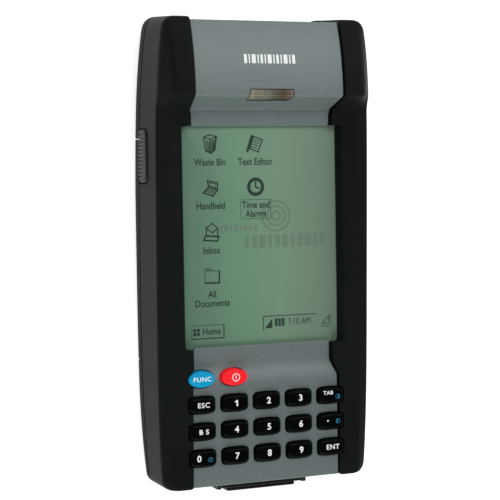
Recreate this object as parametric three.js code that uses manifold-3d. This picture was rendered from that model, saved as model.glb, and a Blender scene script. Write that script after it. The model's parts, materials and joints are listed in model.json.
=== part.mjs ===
// A rugged pocket data terminal: a touch-screen handheld with a raised scanner head, a 17-key pad,
// a ribbed side trigger, a stylus in a silo and a battery pack that comes off the back.
//
// Millimetres. +X is to the right of the screen, +Y towards the scanner head, +Z out of the screen.
// The origin is under the middle of the part, on the plane of its back.

import * as THREE from 'three';
import { mergeVertices } from 'three/addons/utils/BufferGeometryUtils.js';
import Module from 'manifold-3d';

// ---------------------------------------------------------------- driving dimensions

const BODY_TOP = 84.5; // at its front edge
const TOP_LEAN = 1.7; // how much further the top end reaches at the back
const LEAN_FRONT_Z = 31;
const LEAN_BACK_Z = 9;
const BODY_BOTTOM = -83.2;
const DOCK_TIP = -86.5;
const HALF_WIDTH = 41.35;
const END_TAPER = 2.0; // how much narrower each side is at the ends
const WAIST_Y = -4.3; // where the body is widest
const CORNER_RADIUS = 3.8;
const WALL = 2.2;
const BACK_TOP_RISE = 4.7; // how far the back curves up to the top end
const BACK_BOTTOM_RISE = 4.2; // and to the bottom end
const GAP = 0.3; // between pieces that touch
const BIG = 200;

const SCREEN_Y = 6.3;
const SCREEN_Z = 22; // the touch panel's face
const SCREEN_HALF_WIDTH = 30;
const SCREEN_TOP = SCREEN_Y + 40.2;
const SCREEN_BOTTOM = SCREEN_Y - 39.6;
const GLASS_MARGIN = 0.9; // how far the touch panel reaches under the front, above and below
const GLASS_HALF_WIDTH = SCREEN_HALF_WIDTH + 1;
const GLASS_THICKNESS = 1.1;

const RAIL_CREST = SCREEN_Z + 3.6; // the side rails' front, beside the screen
const RAIL_EDGE = SCREEN_Z + 1.6; // their outer edge, at its lowest, by the keypad
const RAIL_EDGE_SLOPE = 0.031; // it climbs towards the head
const RAIL_DEPTH = 3.3; // thickness of the rails' front
const RAIL_LAND = 31.2; // where the rails' front starts, beside the screen
const CREST_HALF_WIDTH = 36.5; // where the front turns down to its outer edge

const HEAD_FOOT = SCREEN_Y + 45.6; // the head's step starts here
const HEAD_BROW = SCREEN_Y + 50.7; // and is full height here
const HEAD_RISE = 9.2;
const HEAD_EDGE_RISE = 1.1;
const HEAD_TOP_DROP = 5.0; // how far the head falls away to the top end

const PANEL_HALF_WIDTH = 28.3; // the grey front panels
const NECK_HALF_WIDTH = 26.9; // where they meet the screen
const PANEL_TOP = BODY_TOP - 0.9;
const PANEL_BOTTOM = BODY_BOTTOM + 0.4;
const BROW_RISE = 10; // the head's brow above the ledge
const PANEL_SKIN = 2.2;
const LEDGE_Z = SCREEN_Z + 1.7;
const LOWER_PANEL_Z = SCREEN_Z + 1.2;
const KEYPAD_Z = SCREEN_Z + 2.6;
const KEYPAD_RAMP_TOP = SCREEN_Y - 46.5;
const KEYPAD_RAMP_FOOT = SCREEN_Y - 51.5;

const SEAM_LOWEST = 6.8; // the front and rear cases' seam, at its lowest
const SEAM_CENTRE_Y = -23;
const SEAM_BOW = 0.00049; // its rise per square millimetre from there
const BACK_RADIUS = 4.3;
const BACK_FLAT = [-47, 23]; // the stretch of the back that is flat

const KEY_PITCH_X = 12.65;
const KEY_PITCH_Y = 9.6;
const KEY_WIDTH = 10.3;
const KEY_HEIGHT = 6.15;
const KEY_ROW_Y = SCREEN_Y - 59.3; // the row of keys 1, 2 and 3
const KEY_TOP = KEYPAD_Z + 1.9;
const KEY_CLEARANCE = 0.35;
const FLANGE_TOP = KEYPAD_Z - RAIL_DEPTH - 0.6; // the flange keeps a key in
const KEY_FLANGE = 0.8;
const KEY_TRAVEL_ROOM = 1.3; // between the flanges and the mat
const OVAL_ROW_Y = KEY_ROW_Y + 9.3;

const PACK_TOP = SCREEN_Y + 36;
const PACK_BOTTOM = SCREEN_Y - 44;
const PACK_LIP = 1.8; // the walls between the battery bay and the ends
const LATCH_PLATE = [19, 6];
const LATCH_Y = PACK_BOTTOM - 5.9;
const LATCH_TRAVEL = 2.6;
const SPEAKER_Y = PACK_TOP + 10.5;
const BAY_FLOOR_Z = 9;
const BAY_FLOOR_THICKNESS = 1.4;

const TRIGGER_Y = SCREEN_Y + 29.8;
const TRIGGER_LENGTH = 19;
const TRIGGER_FRONT_Z = SCREEN_Z - 4.8;
const TRIGGER_BACK_Z = SCREEN_Z - 12.9;
const TRIGGER_INNER_X = -37.4;
const TRIGGER_PROUD = 0.7; // how far it stands out of the side
const TRIGGER_GROOVES = 10;

const BOARD_Z = 11;
const BOARD_THICKNESS = 1.4;
const BOARD_TOP = BOARD_Z + BOARD_THICKNESS;
const STYLUS_X = 34.2;
const STYLUS_Z = 15.4;
const STYLUS_RADIUS = 2.2;
const STYLUS_LENGTH = 112;
const STYLUS_END = BODY_TOP + 1.1;
const SCREW_X = 24;
const SCREW_Y = [BODY_TOP - 11, BODY_BOTTOM + 3.6];
const SCREW_HEAD_DEPTH = 0.9; // below the back
const SCREW_HEAD_RADIUS = 2.2;
const SCREW_HEAD_HEIGHT = 1.3;
const SCREW_RADIUS = 1.2;
const SCREW_LENGTH = 8; // below its head
const BOARD_SCREW_X = 30;
const BOARD_SCREW_Y = [39, -34];

const DOCK_HALF_WIDTH = 15.7;
const DOCK_FRONT = SCREEN_Z - 2.8;
const DOCK_BACK = SCREEN_Z - 10.8;
const SCAN_HALF_WIDTH = 20.7; // the scan window
const SCAN_FRONT = SCREEN_Z + 3.4;
const SCAN_BACK = SCREEN_Z - 6.2;
const LED_HALF_WIDTH = 7.8; // the status window on the brow
const LED_LOW = HEAD_BROW - 1.7;
const LED_HIGH = HEAD_BROW + 1.6;

// ---------------------------------------------------------------- solids

const wasm = await Module();
wasm.setup();

/** A manifold-3d solid from a closed three.js geometry. */
function solidFrom(geometry) {
  const bare = geometry.clone();
  bare.deleteAttribute('normal');
  bare.deleteAttribute('uv');
  const merged = mergeVertices(bare, 1e-4);
  return new wasm.Manifold(
    new wasm.Mesh({
      numProp: 3,
      vertProperties: merged.attributes.position.array,
      triVerts: new Uint32Array(merged.index.array),
    }),
  );
}

/** A three.js geometry from a manifold-3d solid. */
function geometryFrom(solid) {
  const mesh = solid.getMesh();
  const positions = new Float32Array(mesh.numVert * 3);
  for (let i = 0; i < mesh.numVert; i++) {
    positions.set(mesh.vertProperties.subarray(i * mesh.numProp, i * mesh.numProp + 3), i * 3);
  }
  const geometry = new THREE.BufferGeometry();
  geometry.setAttribute('position', new THREE.BufferAttribute(positions, 3));
  geometry.setIndex(new THREE.BufferAttribute(new Uint32Array(mesh.triVerts), 1));
  geometry.computeVertexNormals();
  return geometry;
}

const join = (...solids) => solids.reduce((a, b) => a.add(b));
const cut = (solid, ...tools) => tools.reduce((a, b) => a.subtract(b), solid);

/** A box between two corners. */
function box(x0, x1, y0, y1, z0, z1) {
  const geometry = new THREE.BoxGeometry(x1 - x0, y1 - y0, z1 - z0);
  geometry.translate((x0 + x1) / 2, (y0 + y1) / 2, (z0 + z1) / 2);
  return solidFrom(geometry);
}

/** A shape drawn in X and Y, between two heights. */
function prismZ(shape, z0, z1, curveSegments = 6) {
  const geometry = new THREE.ExtrudeGeometry(shape, { depth: z1 - z0, bevelEnabled: false, curveSegments });
  return solidFrom(geometry.translate(0, 0, z0));
}

/** A shape drawn in Y and Z, between two X. */
function prismX(shape, x0, x1, curveSegments = 6) {
  const geometry = new THREE.ExtrudeGeometry(shape, { depth: x1 - x0, bevelEnabled: false, curveSegments });
  const turn = new THREE.Matrix4().set(0, 0, 1, x0, 1, 0, 0, 0, 0, 1, 0, 0, 0, 0, 0, 1);
  return solidFrom(geometry.applyMatrix4(turn));
}

/** A shape drawn in X and Z, between two Y. */
function prismY(shape, y0, y1, curveSegments = 6) {
  const geometry = new THREE.ExtrudeGeometry(shape, { depth: y1 - y0, bevelEnabled: false, curveSegments });
  return solidFrom(geometry.rotateX(Math.PI / 2).translate(0, y1, 0));
}

/** A lathed solid on an axis along 'y' or 'z'; profile is [radius, distance along the axis] pairs. */
function turned(profile, centre, along = 'z', segments = 16) {
  const geometry = new THREE.LatheGeometry(profile.map(([r, h]) => new THREE.Vector2(r, h)), segments);
  if (along === 'z') geometry.rotateX(Math.PI / 2);
  return solidFrom(geometry.translate(...centre));
}

/** A plain cylinder on an axis along 'y' or 'z', from its start to its length. */
function rod(radius, length, start, along = 'z', segments = 16) {
  return turned([[0, 0], [radius, 0], [radius, length], [0, length]], start, along, segments);
}

/** A rectangle with round corners, centred on a point. */
function roundedRectangle(width, height, radius, cx = 0, cy = 0) {
  const [x, y, r] = [width / 2, height / 2, radius];
  const shape = new THREE.Shape();
  shape.absarc(cx + x - r, cy - y + r, r, -Math.PI / 2, 0);
  shape.absarc(cx + x - r, cy + y - r, r, 0, Math.PI / 2);
  shape.absarc(cx - x + r, cy + y - r, r, Math.PI / 2, Math.PI);
  shape.absarc(cx - x + r, cy - y + r, r, Math.PI, Math.PI * 1.5);
  return shape;
}

function polygon(points) {
  return new THREE.Shape(points.map(([x, y]) => new THREE.Vector2(x, y)));
}

// ---------------------------------------------------------------- the body's form

/** The sides draw in towards both ends, later and faster at the head. */
function halfWidth(y) {
  const share = Math.abs(y - WAIST_Y) / ((BODY_TOP - BODY_BOTTOM) / 2);
  return HALF_WIDTH - END_TAPER * share ** (y > WAIST_Y ? 6 : 4);
}

/** How far the head stands above the rest, from 0 to 1. */
function headShare(y) {
  if (y <= HEAD_FOOT) return 0;
  if (y < HEAD_BROW) return (y - HEAD_FOOT) / (HEAD_BROW - HEAD_FOOT);
  return 1 - (HEAD_TOP_DROP / HEAD_RISE) * ((y - HEAD_BROW) / (BODY_TOP - HEAD_BROW)) ** 2;
}

/** The height of the rails' outer edge: it climbs steadily, with a small step at the head. */
function edgeHeight(y) {
  const step = Math.min(1, Math.max(0, (y - HEAD_FOOT) / (HEAD_BROW - HEAD_FOOT)));
  return RAIL_EDGE + RAIL_EDGE_SLOPE * (y - BODY_BOTTOM - 7) + HEAD_EDGE_RISE * step;
}

/** The back's height: flat under the battery pack, and curving up to both ends. */
function backHeight(y) {
  const [flatBottom, flatTop] = BACK_FLAT;
  if (y > flatTop) return BACK_TOP_RISE * ((y - flatTop) / (BODY_TOP - flatTop)) ** 1.15;
  if (y < flatBottom) return BACK_BOTTOM_RISE * ((flatBottom - y) / (flatBottom - BODY_BOTTOM)) ** 1.7;
  return 0;
}

const seamHeight = (y) => SEAM_LOWEST + SEAM_BOW * (y - SEAM_CENTRE_Y) ** 2;

/** Where the form is sampled along Y. */
function stations() {
  const list = [];
  for (let i = 0; i <= 12; i++) list.push(BODY_BOTTOM + ((HEAD_FOOT - 3 - BODY_BOTTOM) * i) / 12);
  list.push(HEAD_FOOT - 0.7, HEAD_FOOT + 0.5, HEAD_BROW - 0.6, HEAD_BROW + 0.6);
  for (let i = 1; i <= 7; i++) list.push(HEAD_BROW + ((BODY_TOP - HEAD_BROW) * i) / 7);
  list.push(BODY_TOP + TOP_LEAN + 1);
  return list;
}

/** The outline across the body at y, drawn inset from the surface, as [x, z] pairs from front to back. */
function sectionAt(y, inset, frontInset) {
  const x = halfWidth(y) - inset;
  const land = RAIL_CREST + HEAD_RISE * headShare(y) - frontInset;
  const edge = edgeHeight(y) - frontInset;
  const crest = Math.max(land, edge + 0.2);
  const back = backHeight(y) + inset;
  const backRadius = BACK_RADIUS - inset / 2;
  const frontRadius = 0.9;
  const half = [[RAIL_LAND + 1, land], [CREST_HALF_WIDTH - inset, crest]];
  for (const turn of [0, 0.5, 1]) {
    const angle = (Math.PI / 2) * (1 - turn);
    half.push([
      x - frontRadius + frontRadius * Math.cos(angle),
      edge - frontRadius + frontRadius * Math.sin(angle),
    ]);
  }
  for (const turn of [0, 0.25, 0.5, 0.75, 1]) {
    const angle = (-Math.PI / 2) * turn;
    half.push([
      x - backRadius + backRadius * Math.cos(angle),
      back + backRadius + backRadius * Math.sin(angle),
    ]);
  }
  const mirrored = half.map(([px, pz]) => [-px, pz]).reverse();
  return [...half, ...mirrored];
}

/** The body's whole outer form, or its inside when inset, between its two end planes. */
function bodyForm(inset, frontInset) {
  const rings = stations().map((y) => sectionAt(y, inset, frontInset).map(([x, z]) => [x, y, z]));
  const count = rings[0].length;
  const positions = rings.flat(2);
  const index = [];
  for (let r = 0; r < rings.length - 1; r++) {
    for (let i = 0; i < count; i++) {
      const [a, b] = [r * count + i, r * count + ((i + 1) % count)];
      index.push(a, b, a + count, b, b + count, a + count);
    }
  }
  for (let i = 1; i < count - 1; i++) {
    const last = (rings.length - 1) * count;
    index.push(0, i + 1, i, last, last + i, last + i + 1);
  }
  const geometry = new THREE.BufferGeometry();
  geometry.setAttribute('position', new THREE.Float32BufferAttribute(positions, 3));
  geometry.setIndex(index);
  return solidFrom(geometry);
}

/** The body's outline seen from the front, with its top end at a given place. */
function planPrism(inset, top) {
  const radius = CORNER_RADIUS - inset / 2;
  const bottom = BODY_BOTTOM + inset;
  const points = [];
  const sideSteps = 14;
  for (let i = 0; i <= 5; i++) {
    const angle = -Math.PI / 2 + ((Math.PI / 2) * i) / 5;
    const x = halfWidth(bottom + radius) - inset - radius;
    points.push([x + radius * Math.cos(angle), bottom + radius + radius * Math.sin(angle)]);
  }
  for (let i = 1; i < sideSteps; i++) {
    const y = bottom + radius + ((top - bottom - 2 * radius) * i) / sideSteps;
    points.push([halfWidth(y) - inset, y]);
  }
  for (let i = 0; i <= 5; i++) {
    const angle = ((Math.PI / 2) * i) / 5;
    const x = halfWidth(top - radius) - inset - radius;
    points.push([x + radius * Math.cos(angle), top - radius + radius * Math.sin(angle)]);
  }
  const mirrored = points.map(([x, y]) => [-x, y]).reverse();
  return prismZ(polygon([...points, ...mirrored]), -BIG, BIG);
}

/** Everything below the case seam, shifted along Z. */
function belowSeam(shift) {
  const points = [];
  for (let i = 0; i <= 16; i++) {
    const y = -100 + (200 * i) / 16;
    points.push([y, seamHeight(y) + shift]);
  }
  return prismX(polygon([[-100, -BIG], [100, -BIG], ...points.reverse()]), -BIG, BIG);
}

/** What the leaning top end cuts away. */
const beyondTop = prismX(
  polygon([
    [BODY_TOP + TOP_LEAN, -BIG],
    [BIG, -BIG],
    [BIG, BIG],
    [BODY_TOP, BIG],
    [BODY_TOP, LEAN_FRONT_Z],
    [BODY_TOP + TOP_LEAN, LEAN_BACK_Z],
  ]),
  -BIG, BIG,
);

const outer = bodyForm(0, 0).intersect(planPrism(0, BODY_TOP + TOP_LEAN)).subtract(beyondTop);
const inner = bodyForm(WALL, RAIL_DEPTH).intersect(planPrism(WALL, BODY_TOP - WALL));
const shell = outer.subtract(inner);

// ---------------------------------------------------------------- keys

/** A key's outline: a barrel with bowed long sides, grown all round by a margin. */
function keyOutline(margin, cx, cy) {
  const [w, h] = [KEY_WIDTH / 2 + margin, KEY_HEIGHT / 2 + margin];
  const corner = 1.1 + margin;
  const bow = 0.55; // how far the long sides bow out
  const shape = new THREE.Shape();
  shape.moveTo(cx - w + corner, cy - h + bow);
  shape.quadraticCurveTo(cx, cy - h - bow, cx + w - corner, cy - h + bow);
  shape.quadraticCurveTo(cx + w, cy - h + bow + 0.15, cx + w, cy - h + bow + corner);
  shape.lineTo(cx + w, cy + h - bow - corner);
  shape.quadraticCurveTo(cx + w, cy + h - bow - 0.15, cx + w - corner, cy + h - bow);
  shape.quadraticCurveTo(cx, cy + h + bow, cx - w + corner, cy + h - bow);
  shape.quadraticCurveTo(cx - w, cy + h - bow - 0.15, cx - w, cy + h - bow - corner);
  shape.lineTo(cx - w, cy - h + bow + corner);
  shape.quadraticCurveTo(cx - w, cy - h + bow + 0.15, cx - w + corner, cy - h + bow);
  return shape;
}

function ovalOutline(margin, cx, cy) {
  const shape = new THREE.Shape();
  shape.absellipse(cx, cy, KEY_WIDTH / 2 + margin, KEY_HEIGHT / 2 + 0.15 + margin, 0, Math.PI * 2);
  return shape;
}

const KEY_ROWS = [
  ['escape', '1', '2', '3', 'tab'],
  ['backspace', '4', '5', '6', 'point'],
  ['0', '7', '8', '9', 'enter'],
];

const keys = [
  { name: 'key_function', outline: ovalOutline, x: -2 * KEY_PITCH_X, y: OVAL_ROW_Y, colour: 'blueKey' },
  { name: 'key_power', outline: ovalOutline, x: -KEY_PITCH_X, y: OVAL_ROW_Y, colour: 'redKey' },
];
KEY_ROWS.forEach((row, r) => {
  row.forEach((label, c) => {
    const place = { x: (c - 2) * KEY_PITCH_X, y: KEY_ROW_Y - r * KEY_PITCH_Y };
    keys.push({ name: `key_${label}`, outline: keyOutline, ...place, colour: 'key' });
  });
});

/** One key: a cap with a stepped top, a stem through the panel and a flange that keeps it in. */
function keySolid({ outline, x, y }) {
  const cap = prismZ(outline(0, x, y), FLANGE_TOP, KEY_TOP - 0.5, 4);
  const crown = prismZ(outline(-0.45, x, y), KEY_TOP - 0.6, KEY_TOP, 4);
  const rim = roundedRectangle(KEY_WIDTH + 1.4, KEY_HEIGHT + 1.6, 1.2, x, y);
  const flange = prismZ(rim, FLANGE_TOP - KEY_FLANGE, FLANGE_TOP, 2);
  return join(cap, crown, flange);
}

const keyHoles = keys.map(({ outline, x, y }) => prismZ(outline(KEY_CLEARANCE, x, y), 0, BIG, 5));

// ---------------------------------------------------------------- side rails

/** The rails' inner edge beside the panels and the screen, as [x, y] pairs from the bottom up. */
function railEdge(clearance) {
  const panel = PANEL_HALF_WIDTH + clearance;
  const neck = NECK_HALF_WIDTH + clearance;
  return [
    [panel + 0.5, -BIG],
    [panel + 0.5, KEYPAD_RAMP_FOOT],
    [neck, KEYPAD_RAMP_TOP + 0.5],
    [neck, SCREEN_BOTTOM],
    [SCREEN_HALF_WIDTH, SCREEN_BOTTOM],
    [SCREEN_HALF_WIDTH, SCREEN_TOP],
    [neck, SCREEN_TOP],
    [neck, HEAD_FOOT - 0.5],
    [panel, HEAD_BROW],
    [panel, BIG],
  ];
}

/** The left or right region outside that edge. */
function railRegion(side) {
  const edge = railEdge(GAP).map(([x, y]) => [side * x, y]);
  const closed = [...edge, [side * BIG, BIG], [side * BIG, -BIG]];
  return prismZ(polygon(side > 0 ? closed.reverse() : closed), -BIG, BIG);
}

/** The sloped inner walls that run down to the screen's sides. */
const screenFunnel = prismY(
  polygon([
    [-SCREEN_HALF_WIDTH, SCREEN_Z - 1],
    [SCREEN_HALF_WIDTH, SCREEN_Z - 1],
    [SCREEN_HALF_WIDTH, SCREEN_Z + GAP],
    [RAIL_LAND, RAIL_CREST],
    [RAIL_LAND, BIG],
    [-RAIL_LAND, BIG],
    [-RAIL_LAND, RAIL_CREST],
    [-SCREEN_HALF_WIDTH, SCREEN_Z + GAP],
  ]),
  SCREEN_BOTTOM, SCREEN_TOP,
);

const triggerNotch = prismX(
  roundedRectangle(
    TRIGGER_LENGTH + 0.8, 30, 3.2, TRIGGER_Y, TRIGGER_FRONT_Z + 0.4 - 15,
  ),
  -BIG, 0,
);
const stylusBore = rod(STYLUS_RADIUS + GAP, 60, [STYLUS_X, BODY_TOP - 20, STYLUS_Z], 'y', 20);

function rail(side) {
  const blank = shell.intersect(railRegion(side)).subtract(belowSeam(0));
  const holed = cut(blank, screenFunnel, ...keyHoles);
  return side < 0 ? holed.subtract(triggerNotch) : holed.subtract(stylusBore);
}

// ---------------------------------------------------------------- grey front case

/** The front panels' surface line, as [y, z] pairs from the top end to the bottom. */
function panelLine() {
  const line = [];
  const brow = LEDGE_Z + BROW_RISE;
  for (let i = 8; i >= 0; i--) {
    const y = HEAD_BROW - 0.3 + ((PANEL_TOP - HEAD_BROW + 0.3) * i) / 8;
    line.push([y, brow - HEAD_TOP_DROP * ((y - HEAD_BROW) / (BODY_TOP - HEAD_BROW)) ** 2]);
  }
  line.push([HEAD_BROW - 0.9, brow - 1.0]);
  // The step's foot runs out into the ledge in a hollow curve.
  for (let i = 0; i <= 4; i++) {
    const t = i / 4;
    line.push([
      HEAD_FOOT + 1.2 - 5.4 * t,
      LEDGE_Z + 2.4 * (1 - t) ** 2.2,
    ]);
  }
  line.push([SCREEN_TOP + GAP, LEDGE_Z], [SCREEN_TOP + GAP, -BIG]);
  return line;
}

function lowerPanelLine() {
  return [
    [SCREEN_BOTTOM - GAP, -BIG],
    [SCREEN_BOTTOM - GAP, LOWER_PANEL_Z],
    [KEYPAD_RAMP_TOP, LOWER_PANEL_Z],
    [KEYPAD_RAMP_TOP - 1, LOWER_PANEL_Z + 0.2],
    [KEYPAD_RAMP_FOOT + 1, KEYPAD_Z - 0.2],
    [KEYPAD_RAMP_FOOT, KEYPAD_Z],
    [PANEL_BOTTOM, KEYPAD_Z],
    [PANEL_BOTTOM, -BIG],
  ];
}

/** The grey panels' outline seen from the front, inside the rails' edge. */
function panelPrism() {
  const right = railEdge(0).map(([x, y]) => [Math.min(x, PANEL_HALF_WIDTH + 0.5), y]);
  const left = right.map(([x, y]) => [-x, y]).reverse();
  return prismZ(polygon([...right, ...left]), -BIG, BIG);
}

const headMass = prismX(polygon([...panelLine(), [PANEL_TOP, -BIG]].reverse()), -BIG, BIG);
const keypadMass = prismX(polygon(lowerPanelLine().reverse()), -BIG, BIG);

/** Something made at each of the four case screws. */
const atCaseScrews = (make) => SCREW_Y.flatMap((y) => [-SCREW_X, SCREW_X].map((x) => make(x, y)));
const screwSeat = (y) => seamHeight(y) + 1.6;

function frontHousing() {
  const mass = join(headMass, keypadMass).intersect(panelPrism());
  const skin = mass.subtract(mass.translate([0, 0, -PANEL_SKIN]));
  const topWall = mass.intersect(box(-BIG, BIG, PANEL_TOP - WALL, PANEL_TOP, 0, BIG));
  const bottomWall = mass.intersect(box(-BIG, BIG, BODY_BOTTOM, PANEL_BOTTOM + WALL, 0, BIG));
  const seats = atCaseScrews((x, y) => rod(3.3, screwSeat(y) + GAP, [x, y, 0], 'z', 14));
  const walls = cut(join(topWall, bottomWall), belowSeam(0), ...seats);
  const plateReach = SCREEN_HALF_WIDTH + 4.5;
  const plate = box(
    -plateReach, plateReach, SCREEN_BOTTOM - 5, SCREEN_TOP + 4, SCREEN_Z - GLASS_THICKNESS, SCREEN_Z,
  );
  const bosses = atCaseScrews((x, y) => rod(2.6, BIG, [x, y, screwSeat(y) + GAP], 'z', 14).intersect(mass));
  const screwHoles = atCaseScrews((x, y) => rod(1.5, 14, [x, y, 6], 'z', 12));
  const glassReach = GLASS_MARGIN + GAP;
  const screenOpening = box(
    -GLASS_HALF_WIDTH - GAP, GLASS_HALF_WIDTH + GAP,
    SCREEN_BOTTOM - glassReach, SCREEN_TOP + glassReach, 0, SCREEN_Z + GAP,
  );
  const scanOpening = box(
    -SCAN_HALF_WIDTH - GAP, SCAN_HALF_WIDTH + GAP, PANEL_TOP - 5, BIG, SCAN_BACK - GAP, SCAN_FRONT + GAP,
  );
  const dockOpening = box(
    -DOCK_HALF_WIDTH - 2.3, DOCK_HALF_WIDTH + 2.3, -BIG, BODY_BOTTOM + 8, DOCK_BACK - 0.7, DOCK_FRONT + 0.6,
  );
  const ledSlot = box(
    -LED_HALF_WIDTH - GAP, LED_HALF_WIDTH + GAP, LED_LOW - GAP, LED_HIGH + GAP, SCREEN_Z + 4, BIG,
  );
  return cut(
    join(skin, walls, plate, ...bosses),
    screenOpening, scanOpening, dockOpening, ledSlot, ...keyHoles, ...screwHoles,
  );
}

/** The dark red window in the head's end face. */
function scanWindow() {
  return box(-SCAN_HALF_WIDTH, SCAN_HALF_WIDTH, PANEL_TOP - 1.9, PANEL_TOP - 0.6, SCAN_BACK, SCAN_FRONT);
}

/** The smoked window at the brow, following the bend from the face to the step. */
function ledWindow() {
  const slot = box(-LED_HALF_WIDTH, LED_HALF_WIDTH, LED_LOW, LED_HIGH, SCREEN_Z + 4, BIG);
  return slot.intersect(headMass.translate([0, -0.05, -0.15])).subtract(headMass.translate([0, -1.6, -1.6]));
}

// ---------------------------------------------------------------- rear case and battery pack

const belowFront = belowSeam(-GAP);

/** The rear case's shell, above and below the battery bay, joined by the bay's floor. */
function rearHousing() {
  const rearShell = shell.intersect(belowFront);
  const recess = PANEL_HALF_WIDTH + GAP;
  const withoutPack = cut(
    rearShell,
    box(-BIG, BIG, PACK_BOTTOM - GAP, PACK_TOP + GAP, -BIG, BIG),
    box(-recess, recess, PANEL_TOP, BIG, -BIG, BIG),
  );
  const core = bodyForm(WALL - 0.4, RAIL_DEPTH);
  const endWall = (y) => core.intersect(belowFront).intersect(box(-BIG, BIG, y, y + PACK_LIP, -1, BIG));
  const floor = box(-36, 36, PACK_BOTTOM - 2, PACK_TOP + 2, BAY_FLOOR_Z, BAY_FLOOR_Z + BAY_FLOOR_THICKNESS);
  const riser = (y) => box(-36, 36, y, y + PACK_LIP, backHeight(y) + 3, BAY_FLOOR_Z + BAY_FLOOR_THICKNESS);
  const endWalls = [PACK_TOP + GAP, PACK_BOTTOM - GAP - PACK_LIP].flatMap((y) => [endWall(y), riser(y)]);
  const topWall = outer.intersect(belowFront).intersect(
    box(-recess - 1.5, recess + 1.5, PANEL_TOP - WALL, PANEL_TOP, -BIG, BIG),
  );
  const screwSeats = atCaseScrews((x, y) => {
    const foot = backHeight(y) + 1.2;
    return rod(3, screwSeat(y) - foot, [x, y, foot], 'z', 14).intersect(planPrism(0.4, BODY_TOP));
  });
  const holes = atCaseScrews((x, y) => join(
    rod(1.5, 30, [x, y, -10], 'z', 12),
    rod(2.5, 20, [x, y, backHeight(y) + SCREW_HEAD_DEPTH + 1.6 - 20], 'z', 14),
  ));
  const standoffs = BOARD_SCREW_Y.flatMap((y) => [-BOARD_SCREW_X, BOARD_SCREW_X].map(
    (x) => rod(2.4, 1, [x, y, BOARD_Z - GAP - 1], 'z', 12),
  ));
  const standoffHoles = BOARD_SCREW_Y.flatMap((y) => [-BOARD_SCREW_X, BOARD_SCREW_X].map(
    (x) => rod(1.4, 10, [x, y, BAY_FLOOR_Z - 5], 'z', 10),
  ));
  const pocketY = LATCH_Y - LATCH_TRAVEL / 2;
  const [latchWidth, latchHeight] = LATCH_PLATE.map((size) => size + 2 * GAP);
  const pocket = roundedRectangle(latchWidth, latchHeight + LATCH_TRAVEL, 1.5, 0, pocketY);
  const latchPocket = prismZ(pocket, -BIG, 1.6, 3);
  const latchSlot = box(-3.4, 3.4, pocketY - 1.7 - LATCH_TRAVEL / 2, pocketY + 1.7 + LATCH_TRAVEL / 2, 0, 4);
  const grille = [-2, -1, 0, 1, 2].map((i) => {
    const slotY = SPEAKER_Y + 2.2 * i;
    return prismZ(roundedRectangle(14 - 1.6 * Math.abs(i), 1, 0.49, 0, slotY), -BIG, 10, 3);
  });
  const contactSlot = box(-7, 7, PACK_TOP - 6, PACK_TOP - 2.6, BAY_FLOOR_Z - 1, BAY_FLOOR_Z + 3);
  return cut(
    join(withoutPack, floor, topWall, ...endWalls, ...screwSeats, ...standoffs),
    latchPocket, latchSlot, ...grille, contactSlot, ...holes, ...standoffHoles,
  );
}

/** The pack's outer cover, with its wrap-round sides. */
function batteryDoor() {
  const slab = box(-BIG, BIG, PACK_BOTTOM, PACK_TOP, -BIG, BAY_FLOOR_Z - GAP);
  const body = outer.intersect(belowFront).intersect(slab);
  const skin = 1.9;
  const well = box(-BIG, BIG, PACK_BOTTOM + PACK_LIP, PACK_TOP - PACK_LIP, skin, BIG);
  const cellWell = bodyForm(skin, RAIL_DEPTH).intersect(well);
  const grooves = [6, 9, 12].map((up) => roundedRectangle(30, 1.4, 0.69, 0, PACK_BOTTOM + up));
  return cut(body, cellWell, ...grooves.map((shape) => prismZ(shape, -BIG, 0.6, 3)));
}

/** One of the pack's two cells, side by side. */
function batteryCell(side) {
  const [x0, x1] = side < 0 ? [-34.5, -0.3] : [0.3, 34.5];
  const outline = roundedRectangle(x1 - x0, 5.3, 2.4, (x0 + x1) / 2, 5.65);
  return prismY(outline, PACK_BOTTOM + 4, PACK_TOP - 8, 4);
}

/** The pack's latch: a ribbed thumb slide in its pocket. */
function batteryLatch() {
  const y = LATCH_Y;
  const plate = prismZ(roundedRectangle(...LATCH_PLATE, 1.4, 0, y), 0.8, 1.3, 3);
  const ribs = [-2, -1, 0, 1, 2].map((i) => box(-7, 7, y + i - 0.25, y + i + 0.25, 0.4, 0.9));
  const stem = box(-3, 3, y - 1.3, y + 1.3, 1.2, 3);
  const keeper = box(-6, 6, y - 2.2, y + 2.2, 2.6, 3.8);
  return join(plate, ...ribs, stem, keeper);
}

// ---------------------------------------------------------------- trigger, stylus, dock

/** A thumb button that stands proud of the left side, with grooves across it. */
function triggerButton() {
  const outline = roundedRectangle(
    TRIGGER_LENGTH, TRIGGER_FRONT_Z - TRIGGER_BACK_Z, 3, TRIGGER_Y, (TRIGGER_FRONT_Z + TRIGGER_BACK_Z) / 2,
  );
  const face = -(halfWidth(TRIGGER_Y) + TRIGGER_PROUD);
  const cap = prismX(outline, face, TRIGGER_INNER_X);
  const grooves = [];
  for (let i = 0; i < TRIGGER_GROOVES; i++) {
    const y = TRIGGER_Y + (i / (TRIGGER_GROOVES - 1) - 0.5) * (TRIGGER_LENGTH - 4.5);
    grooves.push(box(face - 1, face + 0.4, y - 0.32, y + 0.32, TRIGGER_BACK_Z - 1, TRIGGER_FRONT_Z - 1));
  }
  return cut(cap, ...grooves);
}

/** A pointed tip, a slim barrel and a thicker grip at the end that stands out of its silo. */
function stylus() {
  const length = STYLUS_LENGTH;
  const r = STYLUS_RADIUS;
  const profile = [
    [0, 0], [0.5, 0], [1.5, 6], [r - 0.3, 7], [r - 0.3, length - 16],
    [r, length - 15], [r, length - 1], [r - 0.6, length], [0, length],
  ];
  return turned(profile, [STYLUS_X, STYLUS_END - length, STYLUS_Z], 'y', 18);
}

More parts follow.
